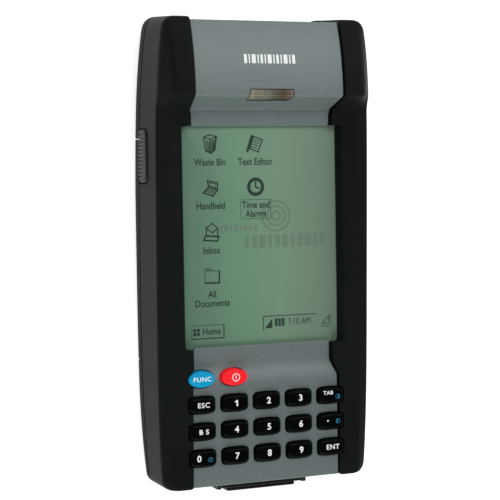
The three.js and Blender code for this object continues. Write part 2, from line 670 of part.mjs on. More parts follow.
/** The stepped connector, with a slot along its tongue. */
function dockConnector() {
  const base = box(
    -DOCK_HALF_WIDTH, DOCK_HALF_WIDTH, BODY_BOTTOM - 1.9, BODY_BOTTOM + 6, DOCK_BACK, DOCK_FRONT,
  );
  const tongue = box(-13.5, 13.5, DOCK_TIP, BODY_BOTTOM, DOCK_BACK + 1.4, DOCK_FRONT - 0.9);
  const slot = box(-11.5, 11.5, DOCK_TIP - 1, DOCK_TIP + 2.2, DOCK_BACK + 3.2, DOCK_FRONT - 2.9);
  return join(base, tongue).subtract(slot);
}

/** A short post on one side of the connector. */
function dockGuide(side) {
  const [near, far] = [DOCK_HALF_WIDTH + GAP, DOCK_HALF_WIDTH + 1.9];
  const [x0, x1] = side < 0 ? [-far, -near] : [near, far];
  return box(x0, x1, BODY_BOTTOM - 2.2, BODY_BOTTOM + 5, DOCK_BACK + 0.5, DOCK_FRONT);
}

// ---------------------------------------------------------------- inside

function mainBoard() {
  const blank = prismZ(roundedRectangle(67, 128, 2, 0, -8), BOARD_Z, BOARD_TOP, 3);
  const holes = BOARD_SCREW_Y.flatMap((y) => [-BOARD_SCREW_X, BOARD_SCREW_X].map(
    (x) => rod(1.5, 10, [x, y, BOARD_Z - 5], 'z', 10),
  ));
  return cut(blank, ...holes);
}

const PAD_TOP = FLANGE_TOP - KEY_FLANGE - KEY_TRAVEL_ROOM;

/** A flat layer under the keys. */
function padLayer(z0, z1) {
  return box(-33, 33, BODY_BOTTOM + 6.5, SCREEN_BOTTOM - 7, z0, z1);
}

function touchPanel() {
  return box(
    -GLASS_HALF_WIDTH, GLASS_HALF_WIDTH, SCREEN_BOTTOM - GLASS_MARGIN, SCREEN_TOP + GLASS_MARGIN,
    SCREEN_Z - GLASS_THICKNESS, SCREEN_Z,
  );
}

function lcdModule() {
  return prismZ(
    roundedRectangle(62, 86, 0.6, 0, SCREEN_Y + 0.3), SCREEN_Z - 5.6, SCREEN_Z - 1.4, 2,
  );
}

function triggerSwitch() {
  return box(-35.6, -33.9, TRIGGER_Y - 3, TRIGGER_Y + 3, BOARD_TOP + GAP, BOARD_TOP + 4.5);
}

function batteryContacts() {
  return box(-6.5, 6.5, PACK_TOP - 5.6, PACK_TOP - 3, BAY_FLOOR_Z - 0.6, BOARD_Z - GAP);
}

/** A pan-head case screw, its head towards the back. */
function caseScrew(x, y) {
  const tip = SCREW_HEAD_HEIGHT + SCREW_LENGTH;
  const profile = [
    [0, 0], [SCREW_HEAD_RADIUS - 0.4, 0], [SCREW_HEAD_RADIUS, 0.4], [SCREW_HEAD_RADIUS, SCREW_HEAD_HEIGHT],
    [SCREW_RADIUS, SCREW_HEAD_HEIGHT], [SCREW_RADIUS, tip], [0, tip],
  ];
  return turned(profile, [x, y, backHeight(y) + SCREW_HEAD_DEPTH], 'z', 14);
}

/** A board screw stands the other way up, its head towards the screen. */
function boardScrew(x, y) {
  const profile = [[0, -3.2], [1.1, -3.2], [1.1, 0.3], [2, 0.3], [2, 1.5], [0, 1.5]];
  return turned(profile, [x, y, BOARD_TOP], 'z', 12);
}

// ---------------------------------------------------------------- materials and nodes

function finish(color, roughness, metalness = 0) {
  return new THREE.MeshStandardMaterial({ color, roughness, metalness });
}

const materials = {
  panel: finish(0x7d8888, 0.45, 0.3),
  rail: finish(0x1d201e, 0.7),
  rear: finish(0x2a2d2a, 0.6),
  key: finish(0x101110, 0.45),
  blueKey: finish(0x1f93cf, 0.4),
  redKey: finish(0xf0303c, 0.4),
  screen: finish(0x7f9c84, 0.25),
  window: finish(0x5a5346, 0.15),
  darkWindow: finish(0x2a0808, 0.1),
  trigger: finish(0x4c504c, 0.6),
  metal: finish(0xa8acab, 0.35, 0.9),
  dock: finish(0x0c0d0c, 0.5),
  board: finish(0x2d5a3a, 0.6),
  silicone: finish(0x6f7472, 0.8),
  cell: finish(0x5a7590, 0.4),
  white: finish(0xe6e8e2, 0.5),
};

const part = new THREE.Group();

function node(name, solid, material) {
  const mesh = new THREE.Mesh(geometryFrom(solid), materials[material]);
  mesh.name = name;
  part.add(mesh);
}

node('front_housing', frontHousing(), 'panel');
node('left_rail', rail(-1), 'rail');
node('right_rail', rail(1), 'rail');
node('rear_housing', rearHousing(), 'rear');
node('battery_door', batteryDoor(), 'rear');
node('battery_cell_left', batteryCell(-1), 'cell');
node('battery_cell_right', batteryCell(1), 'cell');
node('battery_latch', batteryLatch(), 'trigger');
node('touch_panel', touchPanel(), 'screen');
node('lcd_module', lcdModule(), 'metal');
node('led_window', ledWindow(), 'window');
node('scan_window', scanWindow(), 'darkWindow');
node('trigger_button', triggerButton(), 'trigger');
node('stylus', stylus(), 'key');
node('dock_connector', dockConnector(), 'dock');
node('dock_guide_left', dockGuide(-1), 'trigger');
node('dock_guide_right', dockGuide(1), 'trigger');
node('main_board', mainBoard(), 'board');
keys.forEach((key) => node(key.name, keySolid(key), key.colour));

node('keypad_mat', padLayer(PAD_TOP - 0.8, PAD_TOP), 'silicone');
node('keypad_board', padLayer(PAD_TOP - 2.3, PAD_TOP - 1.1), 'board');
node('processor_shield', box(-18, 12, -21, 13, BOARD_TOP + GAP, BOARD_TOP + 2.6), 'metal');
node('coin_cell', rod(6, 2, [20, 25, BOARD_TOP + GAP]), 'metal');
node('engine_bracket', box(-13, 13, 54.5, 78, BOARD_TOP + GAP, BOARD_TOP + 1.3), 'metal');
node('scan_engine', box(-11, 11, 61, 77, BOARD_TOP + 1.6, SCREEN_Z + 4), 'dock');
node('status_led', box(-2, 2, HEAD_BROW - 1, HEAD_BROW + 1, SCREEN_Z + 5.2, SCREEN_Z + 7.4), 'white');
node('trigger_switch', triggerSwitch(), 'metal');
node('speaker', rod(7.5, 2.7, [0, SPEAKER_Y, 7.1], 'z', 20), 'dock');
node('battery_contacts', batteryContacts(), 'metal');

SCREW_Y.forEach((y, row) => [-SCREW_X, SCREW_X].forEach((x, column) => {
  const number = 1 + row * 2 + column;
  node(`case_screw_${number}`, caseScrew(x, y), 'metal');
}));
BOARD_SCREW_Y.forEach((y, row) => [-BOARD_SCREW_X, BOARD_SCREW_X].forEach((x, column) => {
  node(`board_screw_${1 + row * 2 + column}`, boardScrew(x, y), 'metal');
}));

export default part;
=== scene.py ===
import json
import math

import bmesh
import bpy
import numpy as np
from mathutils import Matrix, Vector

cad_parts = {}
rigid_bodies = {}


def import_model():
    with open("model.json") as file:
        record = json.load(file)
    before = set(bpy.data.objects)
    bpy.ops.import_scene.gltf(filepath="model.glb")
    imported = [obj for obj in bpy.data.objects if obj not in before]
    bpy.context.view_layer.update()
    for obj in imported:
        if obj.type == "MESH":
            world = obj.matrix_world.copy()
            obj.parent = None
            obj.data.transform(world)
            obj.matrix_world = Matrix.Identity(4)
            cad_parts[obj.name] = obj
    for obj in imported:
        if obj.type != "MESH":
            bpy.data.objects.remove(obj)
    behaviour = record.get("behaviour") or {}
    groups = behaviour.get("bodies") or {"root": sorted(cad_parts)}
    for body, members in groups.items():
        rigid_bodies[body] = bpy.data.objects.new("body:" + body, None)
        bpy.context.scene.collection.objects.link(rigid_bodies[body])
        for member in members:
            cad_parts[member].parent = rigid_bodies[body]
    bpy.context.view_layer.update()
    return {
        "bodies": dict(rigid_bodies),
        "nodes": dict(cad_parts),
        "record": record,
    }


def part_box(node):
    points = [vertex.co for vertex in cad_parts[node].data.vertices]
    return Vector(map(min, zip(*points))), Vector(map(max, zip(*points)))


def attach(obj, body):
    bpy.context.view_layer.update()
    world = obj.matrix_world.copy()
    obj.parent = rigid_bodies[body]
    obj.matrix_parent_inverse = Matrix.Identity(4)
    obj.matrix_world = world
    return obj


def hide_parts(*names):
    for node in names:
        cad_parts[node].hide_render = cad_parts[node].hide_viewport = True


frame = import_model()

# Lengths are in millimetres until a mesh is made.
MM = 0.001


def box_mm(node):
    """A CAD node's lowest and highest corners, in millimetres."""
    low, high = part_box(node)
    return low / MM, high / MM


def centre_mm(node):
    """The middle of a CAD node's box, in millimetres."""
    low, high = box_mm(node)
    return [(a + b) / 2 for a, b in zip(low, high)]


# ------------ the body's form, from the frame
# X runs across the body, Y from the keypad's end to the head, and Z from the back to the front.

rail_low = box_mm("left_rail")[0]
panel_low, panel_high = box_mm("touch_panel")
door_low, door_high = box_mm("battery_door")

HALF_WIDTH = -rail_low.x
BODY_BOTTOM = rail_low.y
TOP_LEAN = 1.7  # how far the head's end face leans out at its back
BODY_TOP = box_mm("rear_housing")[1].y - TOP_LEAN
LEAN_FRONT_Z = 31
LEAN_BACK_Z = 9
LEAN_LENGTH = 14
END_TAPER = 2.0  # how far each side draws in at the ends
WAIST_Y = -4.3
CORNER_RADIUS = 3.8
GAP = 0.3  # between pieces that fit together
SEAM_GAP = 0.5  # the dark line between the rails and the rear shell
SEAM_EDGE = 0.35
WALL = 2.2
BACK_WALL = 2
PACK_WALL = 1.8
PARTING_EDGE = 0.3

SCREEN_Z = panel_high.z
SCREEN_TOP = panel_high.y - 0.9
SCREEN_BOTTOM = panel_low.y + 0.9
SCREEN_Y = SCREEN_TOP - 40.2
SCREEN_HALF_WIDTH = panel_high.x - 1
SCREEN_CORNER = 1.4
SCREEN_PLATE_MARGIN = 4.3
JOG = 0.05  # half the length of the rails' sideways step at each end of the screen

RAIL_CREST = SCREEN_Z + 3.6
RAIL_EDGE = SCREEN_Z + 1.6
RAIL_EDGE_SLOPE = 0.031
RAIL_EDGE_START = BODY_BOTTOM + 7
RAIL_END_EDGE = 0.9
RAIL_FOOT_EDGE = 0.3
RAIL_CREST_TRIM = 1.5
RAIL_SIDE_TRIM = 1.1
RAIL_DEPTH = 3.3
RAIL_LAND = 31.2
CREST_X = 36.5

HEAD_FOOT = SCREEN_Y + 45.6
HEAD_BROW = SCREEN_Y + 50.7
HEAD_RISE = 9.19
HEAD_EDGE_RISE = 1.1
HEAD_TOP_DROP = 5.0
LEDGE_Z = SCREEN_Z + 1.7
LOWER_PANEL_Z = SCREEN_Z + 1.2
KEYPAD_Z = SCREEN_Z + 2.6
RAMP_TOP = SCREEN_Y - 46.5
RAMP_FOOT = SCREEN_Y - 51.5
PANEL_TOP = BODY_TOP - 0.9
PANEL_BOTTOM = BODY_BOTTOM + 0.4
PANEL_HALF_WIDTH = 28.3
PANEL_EDGE = 0.3
PANEL_NECK_CORNER = 0.9
PANEL_SKEW = 0.25
NECK_HALF_WIDTH = 26.9

SEAM_LOWEST = 6.8
SEAM_CENTRE_Y = -23
SEAM_BOW = 0.00049
BACK_RADIUS = 4.3
BACK_EDGE = 1.8
BACK_FLAT = (-47, 23)
BACK_HEAD_LIFT = 4.7
BACK_KEYPAD_LIFT = 4.2
PACK_TOP = door_high.y
PACK_BOTTOM = door_low.y


def half_width(y):
    """The sides draw in towards both ends, later and faster at the head."""
    share = abs(y - WAIST_Y) / ((BODY_TOP - BODY_BOTTOM) / 2)
    return HALF_WIDTH - END_TAPER * share ** (6 if y > WAIST_Y else 4)


def head_share(y):
    """How far the head stands above the rest, from 0 to 1."""
    if y <= HEAD_FOOT:
        return 0
    if y < HEAD_BROW:
        return (y - HEAD_FOOT) / (HEAD_BROW - HEAD_FOOT)
    return 1 - (HEAD_TOP_DROP / HEAD_RISE) * ((y - HEAD_BROW) / (BODY_TOP - HEAD_BROW)) ** 2


def edge_height(y):
    """The height of the rails' outer edge."""
    step = min(1, max(0, (y - HEAD_FOOT) / (HEAD_BROW - HEAD_FOOT)))
    return RAIL_EDGE + RAIL_EDGE_SLOPE * (y - RAIL_EDGE_START) + HEAD_EDGE_RISE * step


def back_height(y):
    """The back's height: flat under the battery door, and curving up to both ends."""
    low, high = BACK_FLAT
    if y > high:
        return BACK_HEAD_LIFT * ((y - high) / (BODY_TOP - high)) ** 1.15
    if y < low:
        return BACK_KEYPAD_LIFT * ((low - y) / (low - BODY_BOTTOM)) ** 1.7
    return 0


def seam_height(y):
    return SEAM_LOWEST + SEAM_BOW * (y - SEAM_CENTRE_Y) ** 2


def softened(line, y, reach):
    """A line's height at y, with its corners rounded over a reach to both sides."""
    samples = [line(y + reach * i / 4) for i in range(-4, 5)]
    return sum(samples) / len(samples)


def rounding(distance, radius):
    """How far a surface draws in near an end, for an edge of that radius."""
    if distance >= radius:
        return 0
    return radius - math.sqrt(radius**2 - (radius - distance) ** 2)


def leaned(y, z):
    """The head's end face leans out towards the back."""
    start = BODY_TOP - LEAN_LENGTH
    if y <= start:
        return y
    depth = min(1, max(0, (LEAN_FRONT_Z - z) / (LEAN_FRONT_Z - LEAN_BACK_Z)))
    return y + TOP_LEAN * depth * (y - start) / LEAN_LENGTH


def stations(y0, y1, radius, step=1.5):
    """Places along Y, closer together near both ends and around the head's step."""
    near = [radius * (1 - math.cos(math.pi / 2 * i / 8)) for i in range(9)]
    marks = [y0 + t for t in near] + [y1 - t for t in near]
    count = max(2, round((y1 - y0 - 2 * radius) / step))
    marks += [y0 + radius + (y1 - y0 - 2 * radius) * i / count for i in range(1, count)]
    fine_start, fine_end = HEAD_FOOT - 2, HEAD_BROW + 2
    fine = [fine_start + (fine_end - fine_start) * i / 40 for i in range(41)]
    corner_turn = [SCREEN_BOTTOM + SCREEN_CORNER * (1 - math.cos(math.pi / 16 * i)) for i in range(9)]
    jogs = [y + side * JOG for y in (SCREEN_BOTTOM, SCREEN_TOP) for side in (-1, 1)]
    bends = [RAMP_TOP, RAMP_TOP + 0.8, RAMP_FOOT, RAMP_FOOT - 0.8, HEAD_FOOT - 1.6]
    marks += [y for y in fine + corner_turn + jogs + bends if y0 + radius < y < y1 - radius]
    ordered = sorted(marks)
    return [ordered[0]] + [b for a, b in zip(ordered, ordered[1:]) if b - a > 0.004]


# ------------ meshes


def add_object(name, data):
    piece = bpy.data.objects.new(name, data)
    bpy.context.scene.collection.objects.link(piece)
    return piece


def smooth(piece, angle=35):
    """Smooth shading, with edges sharper than the angle left crisp."""
    piece.data.shade_smooth()
    piece.data.set_sharp_from_angle(angle=math.radians(angle))
    return piece


def add_piece(name, verts, faces, material=None, angle=35):
    """A mesh object from points in millimetres."""
    mesh = bpy.data.meshes.new(name)
    mesh.from_pydata([tuple(c * MM for c in v) for v in verts], [], faces)
    work = bmesh.new()
    work.from_mesh(mesh)
    bmesh.ops.recalc_face_normals(work, faces=work.faces)
    work.to_mesh(mesh)
    work.free()
    if material:
        mesh.materials.append(MATERIALS[material])
    return smooth(add_object(name, mesh), angle)


def loft(name, rings, material=None, angle=35):
    """A closed solid through rings of the same number of points, flat at both ends."""
    count = len(rings[0])
    faces = []
    for r in range(len(rings) - 1):
        for i in range(count):
            a, b = r * count + i, r * count + (i + 1) % count
            faces.append((a, b, b + count, a + count))
    last = (len(rings) - 1) * count
    faces.append(tuple(range(count)))
    faces.append(tuple(last + i for i in range(count)))
    return add_piece(name, [p for ring in rings for p in ring], faces, material, angle)


def trimmed(corners, steps=5):
    """A closed outline through corners (x, y, trim); an arc rounds each one, starting its trim away."""
    outline = []
    count = len(corners)
    for i, (x, y, trim) in enumerate(corners):
        here = Vector((x, y))
        if not trim:
            outline.append((x, y))
            continue
        before = Vector(corners[i - 1][:2]) - here
        after = Vector(corners[(i + 1) % count][:2]) - here
        reach = min(trim, before.length * 0.49, after.length * 0.49)
        start = here + before.normalized() * reach
        end = here + after.normalized() * reach
        turn = math.pi - before.angle(after, 0)
        weight = math.cos(turn / 2)
        for k in range(steps + 1):
            t = k / steps
            a, b, c = (1 - t) ** 2, 2 * weight * t * (1 - t), t**2
            point = (start * a + here * b + end * c) / (a + b + c)
            outline.append((point.x, point.y))
    return outline


def rounded_box(x0, x1, y0, y1, radius, steps=6):
    """A rectangle's outline with round corners."""
    corners = [(x0, y0), (x1, y0), (x1, y1), (x0, y1)]
    return trimmed([(x, y, radius) for x, y in corners], steps)


def disc(x, y, radius, sides=24):
    turns = [2 * math.pi * i / sides for i in range(sides)]
    return [(x + radius * math.cos(a), y + radius * math.sin(a)) for a in turns]


def band(x, y, radius, width, low, high, sides=28):
    """A flat ring from one height to another, as a closed band."""
    verts, faces = [], []
    for z in (low, high):
        for r in (radius - width / 2, radius + width / 2):
            verts += [(px, py, z) for px, py in disc(x, y, r, sides)]
    for i in range(sides):
        j = (i + 1) % sides
        for a, b in ((0, 1), (2, 3), (0, 2), (1, 3)):
            faces.append((a * sides + i, a * sides + j, b * sides + j, b * sides + i))
    return add_piece("ring", verts, faces)


def line_outline(x0, y0, x1, y1, width, overrun):
    """A straight line's outline; it runs past its ends by a share of half its width."""
    along = Vector((x1 - x0, y1 - y0)).normalized() * width / 2
    side = Vector((-along.y, along.x))
    a, b = Vector((x0, y0)) - along * overrun, Vector((x1, y1)) + along * overrun
    return [tuple(corner) for corner in (a - side, b - side, b + side, a + side)]


def swept(name, outline, direction, start, end, material=None, edge=0):
    """An outline carried along an axis, with its two ends rounded by an edge radius.

    The outline lies in X and Y for 'z', in Y and Z for 'x', and in X and Z for 'y'.
    """
    points = np.array(outline)
    centre, size = points.mean(axis=0), np.ptp(points, axis=0) / 2
    depths = [edge * (1 - math.cos(math.pi / 2 * i / 5)) for i in range(5)] if edge else []
    depths.append(edge)
    rings = []
    for place in [start + depth for depth in depths] + [end - depth for depth in reversed(depths)]:
        level = centre + (points - centre) * (1 - rounding(min(place - start, end - place), edge) / size)
        ring = [{"z": (u, v, place), "x": (place, u, v), "y": (u, place, v)} for u, v in level]
        rings.append([point[direction] for point in ring])
    return loft(name, rings, material)


def block(name, x0, x1, y0, y1, z0, z1, material=None, edge=0.25, corner=0.4):
    """A block with round corners and soft edges."""
    return swept(name, rounded_box(x0, x1, y0, y1, corner, 4), "z", z0, z1, material, edge)


def apply_modifiers(piece):
    graph = bpy.context.evaluated_depsgraph_get()
    done = bpy.data.meshes.new_from_object(piece.evaluated_get(graph))
    piece.modifiers.clear()
    piece.data = done
    return piece


def stacked(shapes):
    """Printed shapes on a few levels in turn, a hair apart, so that shapes that cross share no plane."""
    levels, step = 12, 0.002
    for i, shape in enumerate(shapes):
        shape.data.transform(Matrix.Translation((0, 0, i % levels * step * MM)))
    return shapes


def joined(name, pieces, material=None):
    """Several meshes as one object."""
    work = bmesh.new()
    for piece in pieces:
        work.from_mesh(piece.data)
    mesh = bpy.data.meshes.new(name)
    work.to_mesh(mesh)
    work.free()
    for piece in pieces:
        bpy.data.objects.remove(piece)
    if material:
        mesh.materials.append(MATERIALS[material])
    return add_object(name, mesh)


def combined(piece, tools, operation):
    """A piece cut by, or joined with, each of the tools, which are used up."""
    for tool in tools:
        modifier = piece.modifiers.new("combine", "BOOLEAN")
        modifier.operation = operation
        modifier.solver = "MANIFOLD"
        modifier.object = tool
        apply_modifiers(piece)
        bpy.data.objects.remove(tool)
    return smooth(piece)


def cut(piece, *tools):
    return combined(piece, tools, "DIFFERENCE")


def fused(piece, *tools):
    return combined(piece, tools, "UNION")


def even_normals(piece):
    """Large flat faces lead the shading, so that cut edges don't smear it."""
    modifier = piece.modifiers.new("even_normals", "WEIGHTED_NORMAL")
    modifier.keep_sharp = True
    modifier.weight = 80
    return piece


def ready(piece, body, *nodes, slot=None):
    """The piece rides on a body and stands for CAD nodes."""
    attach(piece, body)
    if nodes:
        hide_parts(*nodes)
    return piece


# ------------ materials


def new_material(name, colour, roughness, specular=0.5, **sockets):
    """A Principled material, its nodes and its shader; further sockets are set by their names."""
    material = bpy.data.materials.new(name)
    material.use_nodes = True
    shader = material.node_tree.nodes["Principled BSDF"]
    shader.inputs["Base Color"].default_value = (*colour, 1)
    shader.inputs["Roughness"].default_value = roughness
    shader.inputs["Specular IOR Level"].default_value = specular
    for socket, value in sockets.items():
        shader.inputs[socket].default_value = value
    return material, material.node_tree, shader


def own_place(tree):
    """The place on the object, in its own metres."""
    return tree.nodes.new("ShaderNodeTexCoord").outputs["Object"]


def noise(tree, scale, detail=3, stretch=(1, 1, 1)):
    """A noise texture that stays put on the object."""
    mapping = tree.nodes.new("ShaderNodeMapping")
    mapping.inputs["Scale"].default_value = stretch
    texture = tree.nodes.new("ShaderNodeTexNoise")
    texture.inputs["Scale"].default_value = scale
    texture.inputs["Detail"].default_value = detail
    tree.links.new(own_place(tree), mapping.inputs["Vector"])
    tree.links.new(mapping.outputs["Vector"], texture.inputs["Vector"])
    return texture


def ramp(tree, source, stops):
    """A colour ramp; stops are (place, colour)."""
    node = tree.nodes.new("ShaderNodeValToRGB")
    elements = node.color_ramp.elements
    while len(elements) < len(stops):
        elements.new(0.5)
    for element, (place, colour) in zip(elements, stops):
        element.position = place
        element.color = (*colour, 1)
    tree.links.new(source, node.inputs["Fac"])
    return node.outputs["Color"]


def spread(colour, share):
    """A darker and a lighter version of a colour."""
    return tuple(c * (1 - share) for c in colour), tuple(c * (1 + share) for c in colour)


def grey(value):
    return (value,) * 3


def vary_colour(tree, shader, texture, colour, share):
    tone = ramp(tree, texture.outputs["Fac"], list(zip((0.3, 0.7), spread(colour, share))))
    tree.links.new(tone, shader.inputs["Base Color"])


def vary_gloss(tree, shader, texture, low, high):
    gloss = ramp(tree, texture.outputs["Fac"], [(0.3, grey(low)), (0.7, grey(high))])
    tree.links.new(gloss, shader.inputs["Roughness"])


def add_bump(tree, shader, texture, strength, distance):
    bump = tree.nodes.new("ShaderNodeBump")
    bump.inputs["Strength"].default_value = strength
    bump.inputs["Distance"].default_value = distance
    tree.links.new(texture.outputs["Fac"], bump.inputs["Height"])
    tree.links.new(bump.outputs["Normal"], shader.inputs["Normal"])


def moulded(name, colour, roughness, grain, depth, variation=0.12, specular=0.5):
    """Moulded plastic or rubber: a fine grain, slow colour drift and uneven gloss."""
    material, tree, shader = new_material(name, colour, roughness, specular)
    vary_colour(tree, shader, noise(tree, 45, 2), colour, variation)
    fine = noise(tree, grain)
    vary_gloss(tree, shader, fine, roughness * 0.88, min(1, roughness * 1.12))
    add_bump(tree, shader, fine, 0.35, depth)
    return material


def add_glow(material, colour, strength):
    """A little light of its own: a painted glow that makes a material brighter than the lamps alone light
    it; on the floor it keeps the floor evenly bright.
    """
    shader = material.node_tree.nodes["Principled BSDF"]
    shader.inputs["Emission Color"].default_value = (*colour, 1)
    shader.inputs["Emission Strength"].default_value = strength


def painted_panel():
    """Satin grey paint with a fine metallic flake over a barely uneven moulding."""
    colour = (0.195, 0.24, 0.238)
    material, tree, shader = new_material("painted_panel", colour, 0.46, Metallic=0.25, IOR=1.45)
    flake, slow = noise(tree, 3600, 2), noise(tree, 60, 2)
    sparkle = ramp(tree, flake.outputs["Fac"], list(zip((0.32, 0.68), spread(colour, 0.3))))
    drift = ramp(tree, slow.outputs["Fac"], list(zip((0.3, 0.7), spread(colour, 0.05))))
    tree.links.new(mixed(tree, sparkle, drift, "MIX", 0.5), shader.inputs["Base Color"])
    vary_gloss(tree, shader, flake, 0.4, 0.52)
    add_bump(tree, shader, flake, 0.25, 0.00003)
    return material


def across(tree, axis, low, high):
    """0 to 1 across the object along an axis, from low to high in millimetres."""
    parts = tree.nodes.new("ShaderNodeSeparateXYZ")
    tree.links.new(own_place(tree), parts.inputs["Vector"])
    share = tree.nodes.new("ShaderNodeMapRange")
    share.inputs["From Min"].default_value = low * MM
    share.inputs["From Max"].default_value = high * MM
    tree.links.new(parts.outputs[axis], share.inputs["Value"])
    return share.outputs["Result"]


def mixed(tree, a, b, blend="MULTIPLY", factor=1.0):
    mix = tree.nodes.new("ShaderNodeMix")
    mix.data_type = "RGBA"
    mix.blend_type = blend
    mix.inputs["Factor"].default_value = factor
    tree.links.new(a, mix.inputs["A"])
    tree.links.new(b, mix.inputs["B"])
    return mix.outputs["Result"]


def pixel_grid(tree, pitch):
    """White cells with thin grey lines between them."""
    grid = tree.nodes.new("ShaderNodeTexBrick")
    grid.offset = 0
    grid.inputs["Scale"].default_value = 1
    grid.inputs["Brick Width"].default_value = pitch
    grid.inputs["Row Height"].default_value = pitch
    grid.inputs["Mortar Size"].default_value = pitch * 0.08
    for cell in ("Color1", "Color2"):
        grid.inputs[cell].default_value = (1, 1, 1, 1)
    grid.inputs["Mortar"].default_value = (0.86, 0.88, 0.86, 1)
    tree.links.new(own_place(tree), grid.inputs["Vector"])
    return grid.outputs["Color"]


def screen_face():
    """A reflective green-grey panel: painted light and shade across it (brighter in the middle, darker to
    the left), darker towards the bottom, a fine pixel grid and an anti-glare top.
    """
    material, tree, shader = new_material("screen_face", (0.2, 0.33, 0.23), 0.32, specular=0.35)
    stops = [
        (0, (0.162, 0.297, 0.21)), (0.35, (0.207, 0.388, 0.257)),
        (0.62, (0.242, 0.4, 0.272)), (1, (0.225, 0.318, 0.238)),
    ]
    # Painted light and shade across the panel: a brighter middle, darker at the left and greyer at the
    # right, as the lit panel looks from one side.
    painted_light_tint = ramp(tree, across(tree, "X", -SCREEN_HALF_WIDTH, SCREEN_HALF_WIDTH), stops)
    height = across(tree, "Y", SCREEN_BOTTOM, SCREEN_TOP)
    # Darker towards the bottom.
    shade = ramp(tree, height, [(0, grey(0.88)), (0.3, grey(0.97)), (1, grey(1))])
    slow = noise(tree, 25, 2)
    patches = ramp(tree, slow.outputs["Fac"], [(0.3, (0.95, 0.97, 0.95)), (0.7, grey(1))])
    colour = mixed(tree, mixed(tree, painted_light_tint, shade), mixed(tree, patches, pixel_grid(tree, 0.00025)))
    tree.links.new(colour, shader.inputs["Base Color"])
    add_bump(tree, shader, noise(tree, 5000, 2), 0.1, 0.00001)
    return material


def smoked_lens():
    """A smoky metallic-looking lens with paler and browner stretches along it; the pale stretches towards
    its ends are painted reflections.
    """
    material, tree, shader = new_material("smoked_window", (0.2, 0.18, 0.13), 0.25, Metallic=0.35)
    stops = [
        (0, (0.42, 0.37, 0.28)), (0.2, (0.36, 0.32, 0.24)), (0.45, (0.26, 0.25, 0.2)),
        (0.66, (0.14, 0.12, 0.085)), (0.78, (0.16, 0.1, 0.05)), (0.9, (0.19, 0.15, 0.11)),
        (1, (0.3, 0.28, 0.24)),
    ]
    # Painted reflections: paler towards both ends; the browner, darker middle is the lens's own smoked
    # colour.
    painted_reflection_bands = ramp(tree, across(tree, "X", -8.4, 8.8), stops)
    streaks = noise(tree, 260, 2, (3, 0.6, 1))
    patches = ramp(tree, streaks.outputs["Fac"], [(0.35, grey(0.75)), (0.65, grey(1))])
    tree.links.new(mixed(tree, painted_reflection_bands, patches), shader.inputs["Base Color"])
    add_bump(tree, shader, streaks, 0.2, 0.00004)
    return material


def brushed_metal(name, colour, roughness):
    material, tree, shader = new_material(name, colour, roughness, Metallic=1.0)
    lines = noise(tree, 700, 3, (1, 12, 12))
    vary_gloss(tree, shader, lines, roughness * 0.8, roughness * 1.25)
    vary_colour(tree, shader, lines, colour, 0.1)
    add_bump(tree, shader, lines, 0.15, 0.00002)
    return material


# Colour, roughness, the grain's fineness and depth, then colour variation and specular level.
PLASTICS = {
    "black_elastomer": ((0.0088, 0.0114, 0.0101), 0.5, 2200, 0.00006, 0.15, 0.055),
    "charcoal_plastic": ((0.019, 0.022, 0.018), 0.58, 1700, 0.00008, 0.12, 0.04),
    "dark_grey_plastic": ((0.037, 0.042, 0.037), 0.5, 2000, 0.00004, 0.12, 0.15),
    "black_plastic": ((0.006, 0.0065, 0.006), 0.42, 2400, 0.00003, 0.12, 0.25),
    "black_key": ((0.0016, 0.002, 0.002), 0.3, 3000, 0.00001, 0.12, 0.05),
    "blue_key": ((0.003, 0.42, 0.77), 0.4, 3000, 0.00001, 0.04, 0.15),
    "red_key": ((0.96, 0.02, 0.03), 0.4, 3000, 0.00001, 0.04, 0.15),
    "legend_white": ((0.87, 0.89, 0.88), 0.5, 2500, 0.00001, 0.03),
    "legend_blue": ((0.015, 0.17, 0.33), 0.5, 2500, 0.00001, 0.03),
    "ink": ((0.03, 0.055, 0.04), 0.5, 2500, 0.00001, 0.1, 0.2),
    "faint_ink": ((0.18, 0.285, 0.2), 0.4, 2500, 0.00001, 0.05, 0.3),
    "scan_window": ((0.03, 0.0012, 0.002), 0.12, 300, 0.000004, 0.2, 0.2),
    "circuit_board": ((0.015, 0.1, 0.035), 0.35, 800, 0.00005, 0.25),
    "silicone": ((0.2, 0.21, 0.2), 0.65, 1500, 0.00003),
    "cell_wrap": ((0.05, 0.12, 0.22), 0.3, 600, 0.00003, 0.1),
    "white_plastic": ((0.75, 0.75, 0.72), 0.35, 2000, 0.00001, 0.04),
}
MATERIALS = {name: moulded(name, *values) for name, values in PLASTICS.items()}
MATERIALS["grey_panel"] = painted_panel()
MATERIALS["screen_face"] = screen_face()
MATERIALS["smoked_window"] = smoked_lens()
MATERIALS["steel"] = brushed_metal("steel", (0.46, 0.46, 0.45), 0.34)
MATERIALS["gold_contact"] = brushed_metal("gold_contact", (0.78, 0.55, 0.22), 0.25)
# Painted glow: the red key and the white legends and head bars give light of their own, so they stand
# brighter than the lamps make them.
add_glow(MATERIALS["red_key"], (1, 0.01, 0.015), 0.3)
add_glow(MATERIALS["legend_white"], (1, 1, 1), 0.22)


def paint(piece, material):
    """One material all over, in place of any other."""
    piece.data.materials.clear()
    piece.data.materials.append(MATERIALS[material])


def finish_cad_nodes():
    """Every CAD node gets the material of its slot, and soft edges."""
    for entry in frame["record"]["subparts"]:
        node = frame["nodes"][entry["node"]]
        paint(node, entry["material_slot"])
        bevel = node.modifiers.new("soft_edges", "BEVEL")
        bevel.width = 0.15 * MM
        bevel.segments = 2
        bevel.limit_method = "ANGLE"


finish_cad_nodes()

# ------------ side rails


